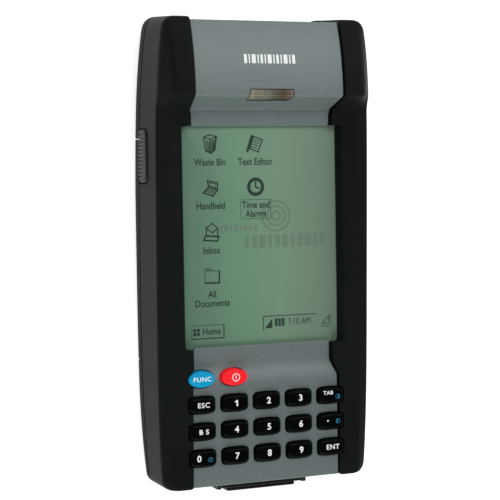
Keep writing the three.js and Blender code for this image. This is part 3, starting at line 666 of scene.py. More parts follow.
def rail_inner(side, y):
    """Where a rail's inner wall stands, at its foot and at its top."""
    panel, neck = PANEL_HALF_WIDTH + GAP, NECK_HALF_WIDTH + GAP
    keypad, lower_foot, lower_top = panel + 0.5, neck - 0.5, neck - 0.5
    if side < 0:
        keypad, lower_foot, lower_top = panel - 0.1, neck + 0.4, neck + 1.2
    places = [
        BODY_BOTTOM, RAMP_FOOT, RAMP_TOP + 0.5, SCREEN_BOTTOM - JOG, SCREEN_BOTTOM + JOG,
        SCREEN_TOP - JOG, SCREEN_TOP + JOG, HEAD_FOOT - 1.4, HEAD_FOOT, HEAD_BROW,
    ]
    screen, land = SCREEN_HALF_WIDTH, RAIL_LAND
    upper = [neck + 0.2, neck + 0.25, neck + 0.7, panel + 0.3]
    foot = [panel + 0.5, keypad, lower_foot, lower_foot, screen, screen, *upper]
    top = [panel + 0.5, keypad, lower_top, lower_top, land + 0.3, land, *upper]
    corner = rounding(y - SCREEN_BOTTOM, SCREEN_CORNER) if y > SCREEN_BOTTOM else 0
    return np.interp(y, places, foot) - corner, np.interp(y, places, top) - corner


def rail_ring(side, y, distance):
    """A rail's outline across the body, from its inner foot round to its outer foot."""
    edge_in = rounding(distance, RAIL_END_EDGE)
    corner_in = rounding(distance, CORNER_RADIUS)
    foot, top = rail_inner(side, y)
    land = softened(lambda v: RAIL_CREST + HEAD_RISE * head_share(v), y, 0.4) - edge_in
    edge = softened(edge_height, y, 0.8) - edge_in
    crest = max(land, edge + 0.2)
    out = half_width(y) - corner_in
    crest_x = min(CREST_X, out - 1.6)
    seam = seam_height(y)
    corners = [
        (foot + edge_in, seam, RAIL_FOOT_EDGE),
        (foot + edge_in, SCREEN_Z + GAP, 0),
        (top + edge_in, land, RAIL_FOOT_EDGE),
        (max(top + 1, RAIL_LAND + 1), land, 0),
        (crest_x, crest, RAIL_CREST_TRIM),
        (out, edge, RAIL_SIDE_TRIM),
        (out, seam, SEAM_EDGE),
    ]
    return [(side * x, leaned(y, z), z) for x, z in trimmed(corners)]


def rail_cavity(side):
    """What is hollow inside a rail."""
    rings = []
    for y in np.linspace(BODY_BOTTOM + WALL, BODY_TOP - WALL, 60):
        foot, top = rail_inner(side, y)
        land = RAIL_CREST + HEAD_RISE * min(head_share(y), head_share(y - 2), head_share(y - 4))
        ceiling = min(land, edge_height(y) + 0.2) - RAIL_DEPTH
        out = half_width(y) - WALL
        inside = min(foot, top) - 1.5
        ring = [(inside, -5), (out, -5), (out, ceiling), (inside, ceiling)]
        rings.append([(side * x, y, z) for x, z in ring])
    return loft("cavity", rings)


# ------------ keys

KEY_NODES = [body for body in frame["bodies"] if body.startswith("key_")]
KEY_WIDTH = 10.1
KEY_HEIGHT = 5.95
KEY_BOW = 0.5
KEY_CORNER = 1.5
KEY_SHOULDER_X = 0.45
KEY_SHOULDER_TRIM = 2.4
KEY_HOLE_MARGIN = 0.4
KEY_DOME = 0.24
KEY_RIM = 1.0
KEY_SKIRT = 5.4
OVAL_KEYS = ("key_function", "key_power")
OUTER_KEY_X = 20
TRIGGER_SIDE_GAP = 0.5
TRIGGER_TOP_GAP = 0.9
TRIGGER_STROKE = 1


def key_outline(oval, margin=0.0):
    """A key's outline about its centre: an ellipse, or a barrel with bowed long sides."""
    w, h = KEY_WIDTH / 2 + margin, KEY_HEIGHT / 2 + margin
    if oval:
        turns = [2 * math.pi * i / 64 for i in range(64)]
        return [(w * math.cos(a), h * math.sin(a)) for a in turns]
    quarter = [(w, 0, 0), (w, h - KEY_BOW, KEY_CORNER), (w * KEY_SHOULDER_X, h, KEY_SHOULDER_TRIM)]
    upper = quarter + [(-x, y, trim) for x, y, trim in reversed(quarter[1:])]
    lower = [(-x, -y, trim) for x, y, trim in upper]
    return trimmed(upper + lower, 6)


def key_drop(x, y):
    """How far a key's crown falls away from its middle, at a place given from its centre."""
    return KEY_DOME * ((x / (KEY_WIDTH / 2)) ** 2 + (y / (KEY_HEIGHT / 2)) ** 2)


def key_cap(name, centre, top, oval, material):
    """A moulded key: straight skirt, soft rim and a gently domed crown."""
    outline = key_outline(oval)
    rings = [[(centre.x + x, centre.y + y, top - KEY_SKIRT) for x, y in outline]]
    rim_turns = [math.pi / 2 * i / 8 for i in range(9)]
    levels = [(KEY_RIM * (1 - math.cos(a)), KEY_RIM * (1 - math.sin(a))) for a in rim_turns]
    crown_reach = KEY_HEIGHT / 2 - KEY_RIM
    levels += [(KEY_RIM + crown_reach * share, 0) for share in (0.15, 0.3, 0.45, 0.6, 0.75, 0.9)]
    for inset, sink in levels:
        sx, sy = 1 - inset / (KEY_WIDTH / 2), 1 - inset / (KEY_HEIGHT / 2)
        ring = [(x * sx, y * sy) for x, y in outline]
        rings.append([(centre.x + x, centre.y + y, top - sink - key_drop(x, y)) for x, y in ring])
    return loft(name, rings, material, 50)


def key_hole(node):
    x, y, _ = centre_mm(node)
    outline = [(x + px, y + py) for px, py in key_outline(node in OVAL_KEYS, KEY_HOLE_MARGIN)]
    return swept("hole", outline, "z", SCREEN_Z - 8, SCREEN_Z + 12)


def trigger_notch():
    """The opening in the side, which runs down to the seam."""
    low, high = box_mm("trigger_button")
    y0, y1, top = low.y - TRIGGER_SIDE_GAP, high.y + TRIGGER_SIDE_GAP, high.z + TRIGGER_TOP_GAP
    return swept("notch", rounded_box(y0, y1, -10, top, 3), "x", -60, -30)


def stylus_bore():
    low, high = box_mm("stylus")
    x, _, z = centre_mm("stylus")
    outline = disc(x, z, (high.x - low.x) / 2 + GAP, 40)
    return swept("bore", outline, "y", high.y - 20, high.y + 20)


def trigger_well():
    """The open box behind the notch that the trigger slides in, with room for its full stroke."""
    low, high = box_mm("trigger_button")
    floor_x = high.x + TRIGGER_STROKE + 0.05
    y0, y1, bottom = low.y - TRIGGER_SIDE_GAP, high.y + TRIGGER_SIDE_GAP, SEAM_LOWEST + 1.4
    top = high.z + TRIGGER_TOP_GAP
    outer = rounded_box(y0 - 1.1, y1 + 1.1, bottom - 0.6, top + 1, 1)
    well = swept("well", outer, "x", high.x - 1.75, floor_x + 0.5, "black_elastomer")
    room = swept("well_room", rounded_box(y0, y1, bottom, top, 0.8), "x", high.x - 5, floor_x)
    pack_wall = block(
        "pack_wall", high.x - 5, floor_x + 5, PACK_TOP - PACK_WALL - GAP, PACK_TOP + 10, 0, SEAM_LOWEST + 2
    )
    return cut(well, room, pack_wall)


def make_rail(name, side, extra_cut, *extra_walls):
    rings = []
    for y in stations(BODY_BOTTOM, BODY_TOP, CORNER_RADIUS):
        rings.append(rail_ring(side, y, min(y - BODY_BOTTOM, BODY_TOP - y)))
    rail = loft(name + "_shell", rings, "black_elastomer")
    holes = [key_hole(node) for node in KEY_NODES if centre_mm(node)[0] * side > OUTER_KEY_X]
    cut(rail, rail_cavity(side), *holes, extra_cut)
    fused(rail, *extra_walls)
    return ready(even_normals(rail), "case", name, slot="black_elastomer")


make_rail("left_rail", -1, trigger_notch(), trigger_well())
make_rail("right_rail", 1, stylus_bore())

# ------------ grey front


def panel_height(y):
    """The grey panels' surface."""
    brow, foot = LEDGE_Z + 10, LEDGE_Z + 0.2
    slope_start, slope_end = HEAD_FOOT + 0.7, HEAD_BROW - 0.3
    if y > slope_end:
        return brow - HEAD_TOP_DROP * (max(0, y - HEAD_BROW) / (BODY_TOP - HEAD_BROW)) ** 2
    if y > slope_start:
        return foot + (brow - foot) * (y - slope_start) / (slope_end - slope_start)
    if y > SCREEN_Y:
        return LEDGE_Z + 0.2 * max(0, (y - SCREEN_TOP) / (slope_start - SCREEN_TOP)) ** 1.5
    ramp_share = min(1, max(0, (RAMP_TOP - y) / (RAMP_TOP - RAMP_FOOT)))
    return LOWER_PANEL_Z + (KEYPAD_Z - LOWER_PANEL_Z) * ramp_share


def surface_height(y):
    """The grey panels' surface with its creases softened."""
    if y < SCREEN_Y:
        return softened(panel_height, y, 1.8)
    return softened(panel_height, y, 0.6 if y > HEAD_FOOT + 2.5 else 0.35)


def panel_skin(name, y0, y1, near_screen, edge=0.35):
    """One of the grey panels as a skin with soft edges; near_screen is where its neck meets the screen."""
    rings = []
    for y in stations(y0, y1, edge, 1.0):
        z = surface_height(y) - rounding(min(y - y0, y1 - y), edge)
        corner = rounding(abs(y - near_screen), PANEL_NECK_CORNER)
        neck_y = max(y, SCREEN_TOP + JOG) if near_screen > SCREEN_Y else min(y, SCREEN_BOTTOM - JOG)
        left, right = (rail_inner(side, neck_y)[0] - GAP - corner for side in (-1, 1))
        right -= PANEL_SKEW
        inside = z - WALL
        corners = [(-left, inside, 0), (-left, z, PANEL_EDGE), (right, z, PANEL_EDGE), (right, inside, 0)]
        rings.append([(x, y, pz) for x, pz in trimmed(corners)])
    return loft(name, rings, "grey_panel")


def led_outline(margin=0.0):
    """The status window's outline from the front, one end slanted more than the other."""
    low, high = box_mm("led_window")
    y0, y1 = low.y - 0.4 - margin, high.y + 0.35 + margin
    x0, x1 = low.x - 0.4 - margin, high.x + 0.85 + margin
    bow = (x1 + 0.15, (y0 + y1) / 2 + 0.6, 1.2)
    corners = [(x0, y0, 0.2), (x1 - 0.5, y0, 0.3), bow, (x1 - 0.1, y1, 0.3), (x0 + 0.3, y1, 0.2)]
    return trimmed(corners, 4)


def front_housing():
    head = panel_skin("front_housing_shell", SCREEN_TOP - 0.1, PANEL_TOP, SCREEN_TOP - 0.1)
    lower = panel_skin("lower", PANEL_BOTTOM, SCREEN_BOTTOM + 0.6, SCREEN_BOTTOM + 0.6)
    top_z = surface_height(PANEL_TOP) - 0.9
    w, low_w = PANEL_HALF_WIDTH, PANEL_HALF_WIDTH + 0.5
    top_outline = rounded_box(-w, w, seam_height(PANEL_TOP), top_z, PANEL_EDGE)
    bottom_outline = rounded_box(-low_w, low_w, seam_height(PANEL_BOTTOM), KEYPAD_Z - 0.9, PANEL_EDGE)
    cut(lower, *[key_hole(node) for node in KEY_NODES])
    cut(head, swept("slot", led_outline(0.25), "z", SCREEN_Z + 4, SCREEN_Z + 20))
    fused(lower, swept("wall", bottom_outline, "y", PANEL_BOTTOM + 0.02, PANEL_BOTTOM + WALL, None, 0.2))
    fused(head, swept("wall", top_outline, "y", PANEL_TOP - WALL, PANEL_TOP - 0.02, None, 0.2))
    low, high = box_mm("dock_guide_left")[0], box_mm("dock_guide_right")[1]
    dock_outline = rounded_box(low.x - 0.4, high.x + 0.4, low.z - 1.2, high.z + 0.6, 0.8)
    cut(lower, swept("hole", dock_outline, "y", PANEL_BOTTOM - 5, PANEL_BOTTOM + 8))
    low, high = box_mm("scan_window")
    window_outline = rounded_box(low.x - GAP, high.x + GAP, low.z - GAP, high.z + GAP, 1.6)
    cut(head, swept("hole", window_outline, "y", PANEL_TOP - 6, PANEL_TOP + 5))
    w, z = SCREEN_HALF_WIDTH + SCREEN_PLATE_MARGIN, SCREEN_Z - 0.05
    plate = block("plate", -w, w, SCREEN_BOTTOM - 4, SCREEN_TOP + 4, z - 1.05, z, None, 0.1)
    cut(plate, block(
        "opening", panel_low.x - GAP, panel_high.x + GAP, panel_low.y - GAP, panel_high.y + GAP,
        SCREEN_Z - 4, SCREEN_Z + 4, None, 0,
    ))
    front = joined("front_housing_shell_all", [head, lower, plate], "grey_panel")
    return ready(even_normals(smooth(front)), "case", "front_housing", slot="grey_panel")


front_housing()


def led_window():
    """The smoked status window, bent over the brow."""
    low, high = box_mm("led_window")
    lens = swept("led_window_lens", led_outline(-0.05), "z", SCREEN_Z + 5, SCREEN_Z + 20)
    rings = []
    for y in stations(low.y - 2, high.y + 2, 0.1, 0.15):
        z = surface_height(y) - 0.1
        rings.append([(x, y, pz) for x, pz in [(-12, z - 1.3), (-12, z), (12, z), (12, z - 1.3)]])
    combined(lens, [loft("lens_skin", rings)], "INTERSECT")
    paint(lens, "smoked_window")
    return ready(lens, "case", "led_window", slot="smoked_window")


led_window()


def head_mark():
    """A plain printed strip of bars on the head."""
    widths = [1.1, 0.5, 1.5, 0.5, 0.9, 0.5, 1.5, 0.5, 0.9, 0.5, 1.5, 0.5, 1.1]
    space = 0.68
    total = sum(widths) + space * (len(widths) - 1)
    x = -total / 2
    y = HEAD_BROW + 12.8
    bars = []
    for width in widths:
        rings = []
        for step in range(7):
            place = y - 1.6 + 3.2 * step / 6
            z = surface_height(place)
            section = [(x, z - 0.1), (x, z + 0.025), (x + width, z + 0.025), (x + width, z - 0.1)]
            rings.append([(px, place, pz) for px, pz in section])
        bars.append(loft("bar", rings))
        x += width + space
    mark = joined("head_mark", bars, "legend_white")
    return ready(smooth(mark), "case", slot="white_plastic")


head_mark()

# ------------ rear housing and battery door


def back_ring(y, edge_in, corner_in):
    """The rear shell's outline, from one side of the seam round to the other."""
    out = half_width(y) - corner_in
    back = back_height(y) + edge_in
    top = seam_height(y) - SEAM_GAP
    half = [(out, back, BACK_RADIUS), (out, top, SEAM_EDGE)]
    corners = [(-x, z, trim) for x, z, trim in reversed(half)] + half
    return [(x, leaned(y, z), z) for x, z in trimmed(corners, 8)]


def back_solid(name, y0, y1, *body_ends):
    """A stretch of the rear shell, solid; each end is the body's own end, or a parting line."""
    edges = [BACK_EDGE if own else PARTING_EDGE for own in body_ends]
    corners = [CORNER_RADIUS if own else PARTING_EDGE for own in body_ends]
    rings = []
    for y in stations(y0, y1, max(corners)):
        distances = (y - y0, y1 - y)
        edge_in, corner_in = (max(map(rounding, distances, radii)) for radii in (edges, corners))
        rings.append(back_ring(y, edge_in, corner_in))
    return loft(name, rings, "charcoal_plastic")


def back_hollow(y0, y1):
    """The inside of the rear shell, open towards the front."""
    rings = []
    for y in np.linspace(y0, y1, max(4, round((y1 - y0) / 3))):
        out = half_width(y) - BACK_WALL
        back = back_height(y) + BACK_WALL
        corners = [(-out, 40, 0), (-out, back, 3), (out, back, 3), (out, 40, 0)]
        rings.append([(x, y, z) for x, z in trimmed(corners)])
    return loft("hollow", rings)


def rear_housing():
    lower = back_solid("lower_back", BODY_BOTTOM, PACK_BOTTOM - GAP, True, False)
    upper = back_solid("upper_back", PACK_TOP + GAP, BODY_TOP, False, True)
    cut(lower, back_hollow(BODY_BOTTOM + WALL, PACK_BOTTOM - GAP - PACK_WALL))
    cut(upper, back_hollow(PACK_TOP + GAP + PACK_WALL, PANEL_TOP - WALL))
    recess = PANEL_HALF_WIDTH + GAP
    cut(upper, swept("recess", rounded_box(-recess, recess, -20, 40, 0.6), "y", PANEL_TOP, BODY_TOP + 10))
    low, high = box_mm("battery_latch")
    latch_stroke = 2.6
    pocket = rounded_box(low.x - GAP, high.x + GAP, low.y - latch_stroke - GAP, high.y + GAP, 1.5)
    cut(lower, swept("pocket", pocket, "z", -5, 1.6))
    cut(lower, block("slot", -3.4, 3.4, low.y - 1.2, high.y - 1.4, 1, 8, None, 0))
    speaker_y = centre_mm("speaker")[1]
    slits = []
    for i in range(-2, 3):
        w, y = 7 - 0.8 * abs(i), speaker_y + 2.2 * i
        slits.append(swept("slit", rounded_box(-w, w, y - 0.5, y + 0.5, 0.48), "z", -5, 9))
    cut(upper, *slits)
    for number in range(1, 5):
        screw = f"case_screw_{number}"
        x, y, _ = centre_mm(screw)
        head_end = box_mm(screw)[0].z + 1.6
        for radius, start, end in ((2.6, -5, head_end), (1.5, 0, 20)):
            cut(upper if y > 0 else lower, swept("post", disc(x, y, radius, 32), "z", start, end))
    z = 9
    floor = block("floor", -36, 36, PACK_BOTTOM - 2, PACK_TOP + 2, z, z + 1.4, None, 0.2)
    low, high = box_mm("battery_contacts")
    cut(floor, block("slot", low.x - 0.5, high.x + 0.5, low.y - 0.4, high.y + 0.4, z - 2, z + 4, None, 0))
    rear = joined("rear_housing_shell", [lower, upper, floor], "charcoal_plastic")
    return ready(even_normals(smooth(rear)), "case", "rear_housing", slot="charcoal_plastic")


rear_housing()


def battery_door():
    door = back_solid("battery_door_shell", PACK_BOTTOM, PACK_TOP, False, False)
    cut(door, back_hollow(PACK_BOTTOM + PACK_WALL, PACK_TOP - PACK_WALL))
    grips = []
    for i in range(5):
        y = PACK_BOTTOM + 5 + 2.2 * i
        w = 15 - 0.9 * i
        grips.append(swept("grip", rounded_box(-w, w, y - 0.6, y + 0.6, 0.55), "z", -5, 0.5))
    cut(door, *grips)
    return ready(even_normals(door), "battery_door", "battery_door", slot="charcoal_plastic")


battery_door()


def battery_latch():
    low, high = box_mm("battery_latch")
    plate = block("plate", low.x, high.x, low.y, high.y, low.z + 0.35, low.z + 0.95, None, 0.15, 1.4)
    stem = block("stem", -3, 3, low.y + 1.7, high.y - 1.7, low.z + 0.8, low.z + 2.6, None, 0.1)
    keeper = block("keeper", -6, 6, low.y + 0.8, high.y - 0.8, low.z + 2.2, high.z, None, 0.2)
    middle = (low.y + high.y) / 2
    ribs = []
    for i in range(-2, 3):
        y = middle + i
        outline = rounded_box(-7, 7, y - 0.28, y + 0.28, 0.26)
        ribs.append(swept("rib", outline, "z", low.z, low.z + 0.7, None, 0.15))
    latch = joined("battery_latch_slide", [plate, stem, keeper, *ribs], "dark_grey_plastic")
    return ready(smooth(latch), "battery_latch", "battery_latch", slot="dark_grey_plastic")


battery_latch()

# ------------ side trigger


def trigger():
    """A thumb button that stands a little proud of the side wall, with a row of grooves across it."""
    low, high = box_mm("trigger_button")
    outline = rounded_box(low.y, high.y, low.z, high.z, 2.6, 10)
    cap = swept("trigger_cap", outline, "x", low.x, high.x, "dark_grey_plastic", 0.6)
    count, pitch = 12, 1.36
    middle = (low.y + high.y) / 2 + 0.3
    grooves = []
    for i in range(count):
        y = middle + (i - (count - 1) / 2) * pitch
        groove = rounded_box(y - 0.29, y + 0.29, low.z - 2, high.z - 2.1, 0.28)
        grooves.append(swept("groove", groove, "x", low.x - 1, low.x + 0.75))
    cut(cap, *grooves)
    return ready(cap, "trigger_button", "trigger_button", slot="dark_grey_plastic")


trigger()

# ------------ screen


def screen_panel():
    panel = block(
        "screen_panel", panel_low.x, panel_high.x, panel_low.y, panel_high.y, panel_low.z, panel_high.z,
        "screen_face", 0.12, 0.5,
    )
    return ready(panel, "case", "touch_panel", slot="screen_face")


screen_panel()

INK_DEPTH = 0.02  # above the screen's face
PRINT_SINK = 0.04  # below it


def flat(name, points, height=INK_DEPTH):
    """A printed shape on the screen, set into it so that no gap shows."""
    return swept(name, points, "z", SCREEN_Z - PRINT_SINK, SCREEN_Z + height)


def stroke(x0, y0, x1, y1, width=0.3):
    """A straight printed line."""
    return flat("stroke", line_outline(x0, y0, x1, y1, width, 1))


def rectangle(x, y, w, h):
    return [(x - w / 2, y - h / 2), (x + w / 2, y - h / 2), (x + w / 2, y + h / 2), (x - w / 2, y + h / 2)]


def ring(x, y, radius, width, sides=28, height=INK_DEPTH):
    """A printed ring."""
    return band(x, y, radius, width, SCREEN_Z - PRINT_SINK, SCREEN_Z + height, sides)


def lettering(text, x, y, size, base, thickness, weight=0.0, squeeze=1.0, spacing=1.0):
    """Raised letters as a mesh, in millimetres, centred on a point."""
    curve = bpy.data.curves.new("letters", "FONT")
    curve.body = text
    curve.size = size
    curve.align_x = "CENTER"
    curve.align_y = "CENTER"
    curve.offset = weight
    curve.extrude = thickness / 2
    curve.resolution_u = 4
    curve.space_character = spacing
    holder = add_object("letters", curve)
    graph = bpy.context.evaluated_depsgraph_get()
    mesh = bpy.data.meshes.new_from_object(holder.evaluated_get(graph))
    bpy.data.objects.remove(holder)
    work = bmesh.new()
    work.from_mesh(mesh)
    bmesh.ops.remove_doubles(work, verts=work.verts, dist=0.0005)
    place = Matrix.Translation((x * MM, y * MM, (base + thickness / 2) * MM))
    scale = Matrix.Diagonal((MM * squeeze, MM, MM, 1))
    bmesh.ops.transform(work, matrix=place @ scale, verts=work.verts)
    work.to_mesh(mesh)
    work.free()
    return add_object("letters", mesh)


def caption(text, x, y, size=3.5):
    """Words on the screen; an M's narrow corners can't take the heavier outline."""
    weight, squeeze = 0 if "M" in text else 0.06, 0.82
    return lettering(text, x, y, size, SCREEN_Z - PRINT_SINK, PRINT_SINK + INK_DEPTH, weight, squeeze)


def closed_line(x, y, corners, width=0.35):
    """A closed printed line through corners given from a centre."""
    points = [(x + px, y + py) for px, py in corners]
    return [stroke(*a, *b, width) for a, b in zip(points, points[1:] + points[:1])]


def lines(x, y, ends, width=0.3):
    """Straight printed lines, each given from a centre as x0, y0, x1, y1."""
    return [stroke(x + x0, y + y0, x + x1, y + y1, width) for x0, y0, x1, y1 in ends]


def icon_bin(x, y):
    """A basket seen from above one corner."""
    rim = closed_line(x, y, [(-2.3, 2.4), (0.4, 1.6), (2.5, 2.6), (-0.1, 3.3)], 0.4)
    sides = lines(x, y, [(-2.3, 2.4, -1.6, -2.2), (0.4, 1.6, 0.4, -3.2)], 0.4)
    shaded = lines(x, y, [(2.5, 2.6, 1.9, -2), (-1.6, -2.2, 0.4, -3.2), (0.4, -3.2, 1.9, -2)], 0.65)
    left_slats = [(-1.3 + 0.6 * i, 1.2 - 0.2 * i, -1 + 0.5 * i, -1.8 - 0.25 * i) for i in range(3)]
    right_slats = [(1.1 + 0.55 * i, 1.1 + 0.2 * i, 1 + 0.4 * i, -2.1 + 0.3 * i) for i in range(2)]
    return rim + sides + shaded + lines(x, y, left_slats) + lines(x, y, right_slats, 0.4)


def icon_pages(x, y):
    """A written page and a pen."""
    page = closed_line(x, y, [(-0.6, 2.6), (2.9, 1.4), (1.2, -3), (-2, -1.8)], 0.45)
    rows = [(-0.4 - 0.3 * i, 1.5 - 0.85 * i, 1.8 - 0.35 * i, 0.8 - 0.85 * i) for i in range(4)]
    pen = [stroke(x - 2.9, y - 2.4, x - 1.2, y + 2.6, 0.95), flat("nib", disc(x - 3, y - 2.8, 0.3, 8))]
    return page + lines(x, y, rows) + pen


def icon_device(x, y):
    """A small open device."""
    lid = closed_line(x, y, [(-1.2, 2.6), (2.7, 1.7), (2.7, -0.8), (-0.7, 0.3)], 0.42)
    base = closed_line(x, y, [(-0.7, 0.3), (2.7, -0.8), (0.9, -3), (-2.7, -1.8)], 0.55)
    glass = closed_line(x, y, [(-0.5, 1.9), (2.1, 1.3), (2.1, -0.1), (-0.2, 0.7)], 0.27)
    rows = [(-1.6 + 0.45 * i, -1.3 + 0.45 * i, 0.9 + 0.45 * i, -2.1 + 0.45 * i) for i in range(3)]
    return lid + base + glass + lines(x, y, rows, 0.27)


def icon_dial(x, y):
    """A round clock with a thick rim."""
    hands = lines(x, y, [(0, 0, 0, 1.8), (0, 0, 1.3, -0.7)], 0.55)
    quarters = [math.pi / 2 * i for i in range(4)]
    ticks = [flat("tick", disc(x + 1.9 * math.cos(a), y + 1.9 * math.sin(a), 0.2, 8)) for a in quarters]
    return [ring(x, y, 2.75, 1.2), *hands, *ticks]


def icon_letter(x, y):
    """An envelope in a tray."""
    sheet = closed_line(x, y, [(-1.9, 1.6), (0.4, 3.2), (2.5, 1.4), (2.5, -1.6), (-1.9, -1.2)], 0.4)
    fold = lines(x, y, [(-1.9, 1.6, 0.5, -0.2), (2.5, 1.4, 0.5, -0.2)], 0.38)
    tray = closed_line(x, y, [(-2.9, -2.8), (-2.2, -1.2), (2.9, -1.6), (2.3, -3.2)], 0.55)
    return sheet + fold + tray


def icon_folder(x, y):
    """A folder with its tab."""
    front = closed_line(x, y, rectangle(0, -0.1, 5.4, 4.2), 0.25)
    tab = lines(x, y, [(-2.5, 2.7, -0.7, 2.7), (-0.7, 2.7, -0.1, 2)], 0.32)
    shade = lines(x, y, [(2.8, 1.8, 2.8, -2.4), (-2.5, -2.4, 2.8, -2.4)], 0.6)
    return front + tab + shade


def status_tray(y):
    """The box at the lower right: signal, battery and time, and a pen's corner."""
    shapes = lines(0, y, [(0.4, 2.5, 21.6, 2.5), (0.4, 2.5, 0.4, -2.5)])
    shapes.append(flat("signal", [(1.0, y - 1.9), (3.9, y - 1.9), (3.9, y + 1.6)]))
    shapes += [flat("bar", rectangle(5.6 + 1.25 * i, y + 0.1, 0.9, 2.3)) for i in range(3)]
    shapes += closed_line(0, y, rectangle(6.9, 0.1, 3.9, 2.5), 0.2)
    shapes.append(caption("7:10 AM", 14.8, y, 3.3))
    shapes += lines(0, y, [(23, -2.2, 27.6, -2.2), (27.6, -2.2, 27.6, 2.2)], 0.2)
    return shapes + closed_line(0, y, [(24, -1.3), (26.6, -1.3), (26.8, 1.6)], 0.28)


def home_button(y):
    """The shaded box at the lower left."""
    shapes = lines(0, y, [(-15.1, 2.4, -15.1, -2.4), (-27.4, -2.4, -15.1, -2.4)], 0.4)
    shapes += lines(0, y, [(-27.4, 2.4, -15.1, 2.4), (-27.4, 2.4, -27.4, -2.4)], 0.16)
    corners = [(dx, dy) for dx in (-0.7, 0.7) for dy in (-0.7, 0.7)]
    shapes += [flat("square", rectangle(-25.6 + dx, y + dy, 1.1, 1.1)) for dx, dy in corners]
    return [*shapes, caption("Home", -19.8, y, 3.4)]


def screen_graphics():
    """A plain desktop: generic icons in two columns, a button and a status tray."""
    left, right = -19.3, -1.8
    rows = [SCREEN_Y + v for v in (33.8, 18.2, 2.2, -13.6)]
    drawings = [
        (icon_bin, ["Waste Bin"], left, rows[0]),
        (icon_pages, ["Text Editor"], right, rows[0]),
        (icon_device, ["Handheld"], left, rows[1]),
        (icon_dial, ["Time and", "Alarms"], right, rows[1]),
        (icon_letter, ["Inbox"], left, rows[2]),
        (icon_folder, ["All", "Documents"], left, rows[3]),
    ]
    shapes = []
    for icon, words, x, y in drawings:
        shapes += icon(x, y)
        shapes += [caption(word, x, y - 6.6 - 3.2 * i) for i, word in enumerate(words)]
    shapes += closed_line(right, rows[1], rectangle(-0.1, -8.1, 11.6, 6.9), 0.16)
    shapes += home_button(SCREEN_Y - 33.5) + status_tray(SCREEN_Y - 31.6)
    graphics = joined("screen_graphics", stacked(shapes), "ink")
    return ready(graphics, "case", slot="black_plastic")


def screen_backdrop():
    """A faint pattern behind the icons: three rings and two rows of bars."""
    low = 0.005
    shapes = [ring(6.0, SCREEN_Y + 7.5, radius, 0.9, 48, low) for radius in (1.6, 3.5, 5.4)]
    for i in range(11):
        width = 1.5 + 0.5 * (i % 3)
        shapes.append(flat("bar", rectangle(-5.5 + 3.0 * i, SCREEN_Y - 1.6, width, 4.6), low))
    for i in range(8):
        width = 0.9 + 0.4 * (i % 2)
        shapes.append(flat("bar", rectangle(-15.5 + 1.9 * i, SCREEN_Y + 3.4, width, 2.4), low))
    pattern = joined("screen_backdrop", shapes, "faint_ink")
    return ready(pattern, "case", slot="screen_face")


screen_graphics()
screen_backdrop()

# ------------ keys and their legends

LEGENDS = {"escape": "ESC", "tab": "TAB", "backspace": "B S", "enter": "ENT", "function": "FUNC"}
# Place from the key's centre, size and weight, then squeeze and spacing.
LEGEND_SETTING = {
    "function": (0, 0, 2.3, 0.03, 1.08, 1.1),
    "escape": (0.3, 0, 2.55, 0.04, 1.05, 1.12),
    "enter": (0.3, 0, 2.55, 0.04, 1.05, 1.12),
    "backspace": (0.2, 0, 2.45, 0.05, 1.1, 1.1),
    "tab": (-1.3, 1.0, 1.95, 0.035, 1.05, 1.1),
    "0": (-1.8, 0.1, 3.2, 0.08),
}
NUMERAL_SETTING = (0.2, 0, 3.25, 0.08)
LEGEND_SINK = 0.08  # below the key's crown
LEGEND_RISE = 0.014  # above it


def key_mark(name, outline):
    """A printed shape, made flat around height 0 and laid on a key's crown later."""
    return swept(name, outline, "z", -LEGEND_SINK, LEGEND_RISE)


def key_stroke(x0, y0, x1, y1, width):
    return key_mark("stroke", line_outline(x0, y0, x1, y1, width, 0.5))


def key_ring(x, y, radius, width):
    return band(x, y, radius, width, -LEGEND_SINK, LEGEND_RISE)


def half_moon(x, y, filled_side, radius=0.85):
    """A small contrast sign: a ring with one half filled."""
    turns = [-math.pi / 2 + math.pi * i / 16 for i in range(17)]
    half = [(x + filled_side * radius * math.cos(a), y + radius * math.sin(a)) for a in turns]
    return [key_mark("half", half), key_ring(x, y, radius, 0.2)]


def small_sun(x, y, radius=0.6):
    """A small backlight sign: a ring with rays."""
    shapes = [key_ring(x, y, radius, 0.26)]
    for i in range(8):
        ray = Vector((math.cos(math.pi / 4 * i), math.sin(math.pi / 4 * i)))
        start, end = (Vector((x, y)) + ray * reach for reach in (radius + 0.15, radius + 0.42))
        shapes.append(key_stroke(*start, *end, 0.2))
    return shapes


def key_letters(text, x, y, size, weight, *setting):
    return lettering(text, x, y, size, -LEGEND_SINK, LEGEND_SINK + LEGEND_RISE, weight, *setting)


def laid_on_key(shapes, centre, top):
    """Shapes drawn about a key's centre, sliced finely and bent onto its crown."""
    for shape in shapes:
        work = bmesh.new()
        work.from_mesh(shape.data)
        slices = [(axis, 0.4 * i) for axis in (0, 1) for i in range(-12, 13)]
        for axis, place in slices:
            point = Vector((0, 0, 0))
            point[axis] = place * MM
            normal = Vector((0, 0, 0))
            normal[axis] = 1
            everything = [*work.verts, *work.edges, *work.faces]
            bmesh.ops.bisect_plane(work, geom=everything, plane_co=point, plane_no=normal)
        for vert in work.verts:
            drop = key_drop(vert.co.x / MM, vert.co.y / MM)
            vert.co += Vector((centre.x, centre.y, top - drop)) * MM
        work.to_mesh(shape.data)
        work.free()
    return shapes


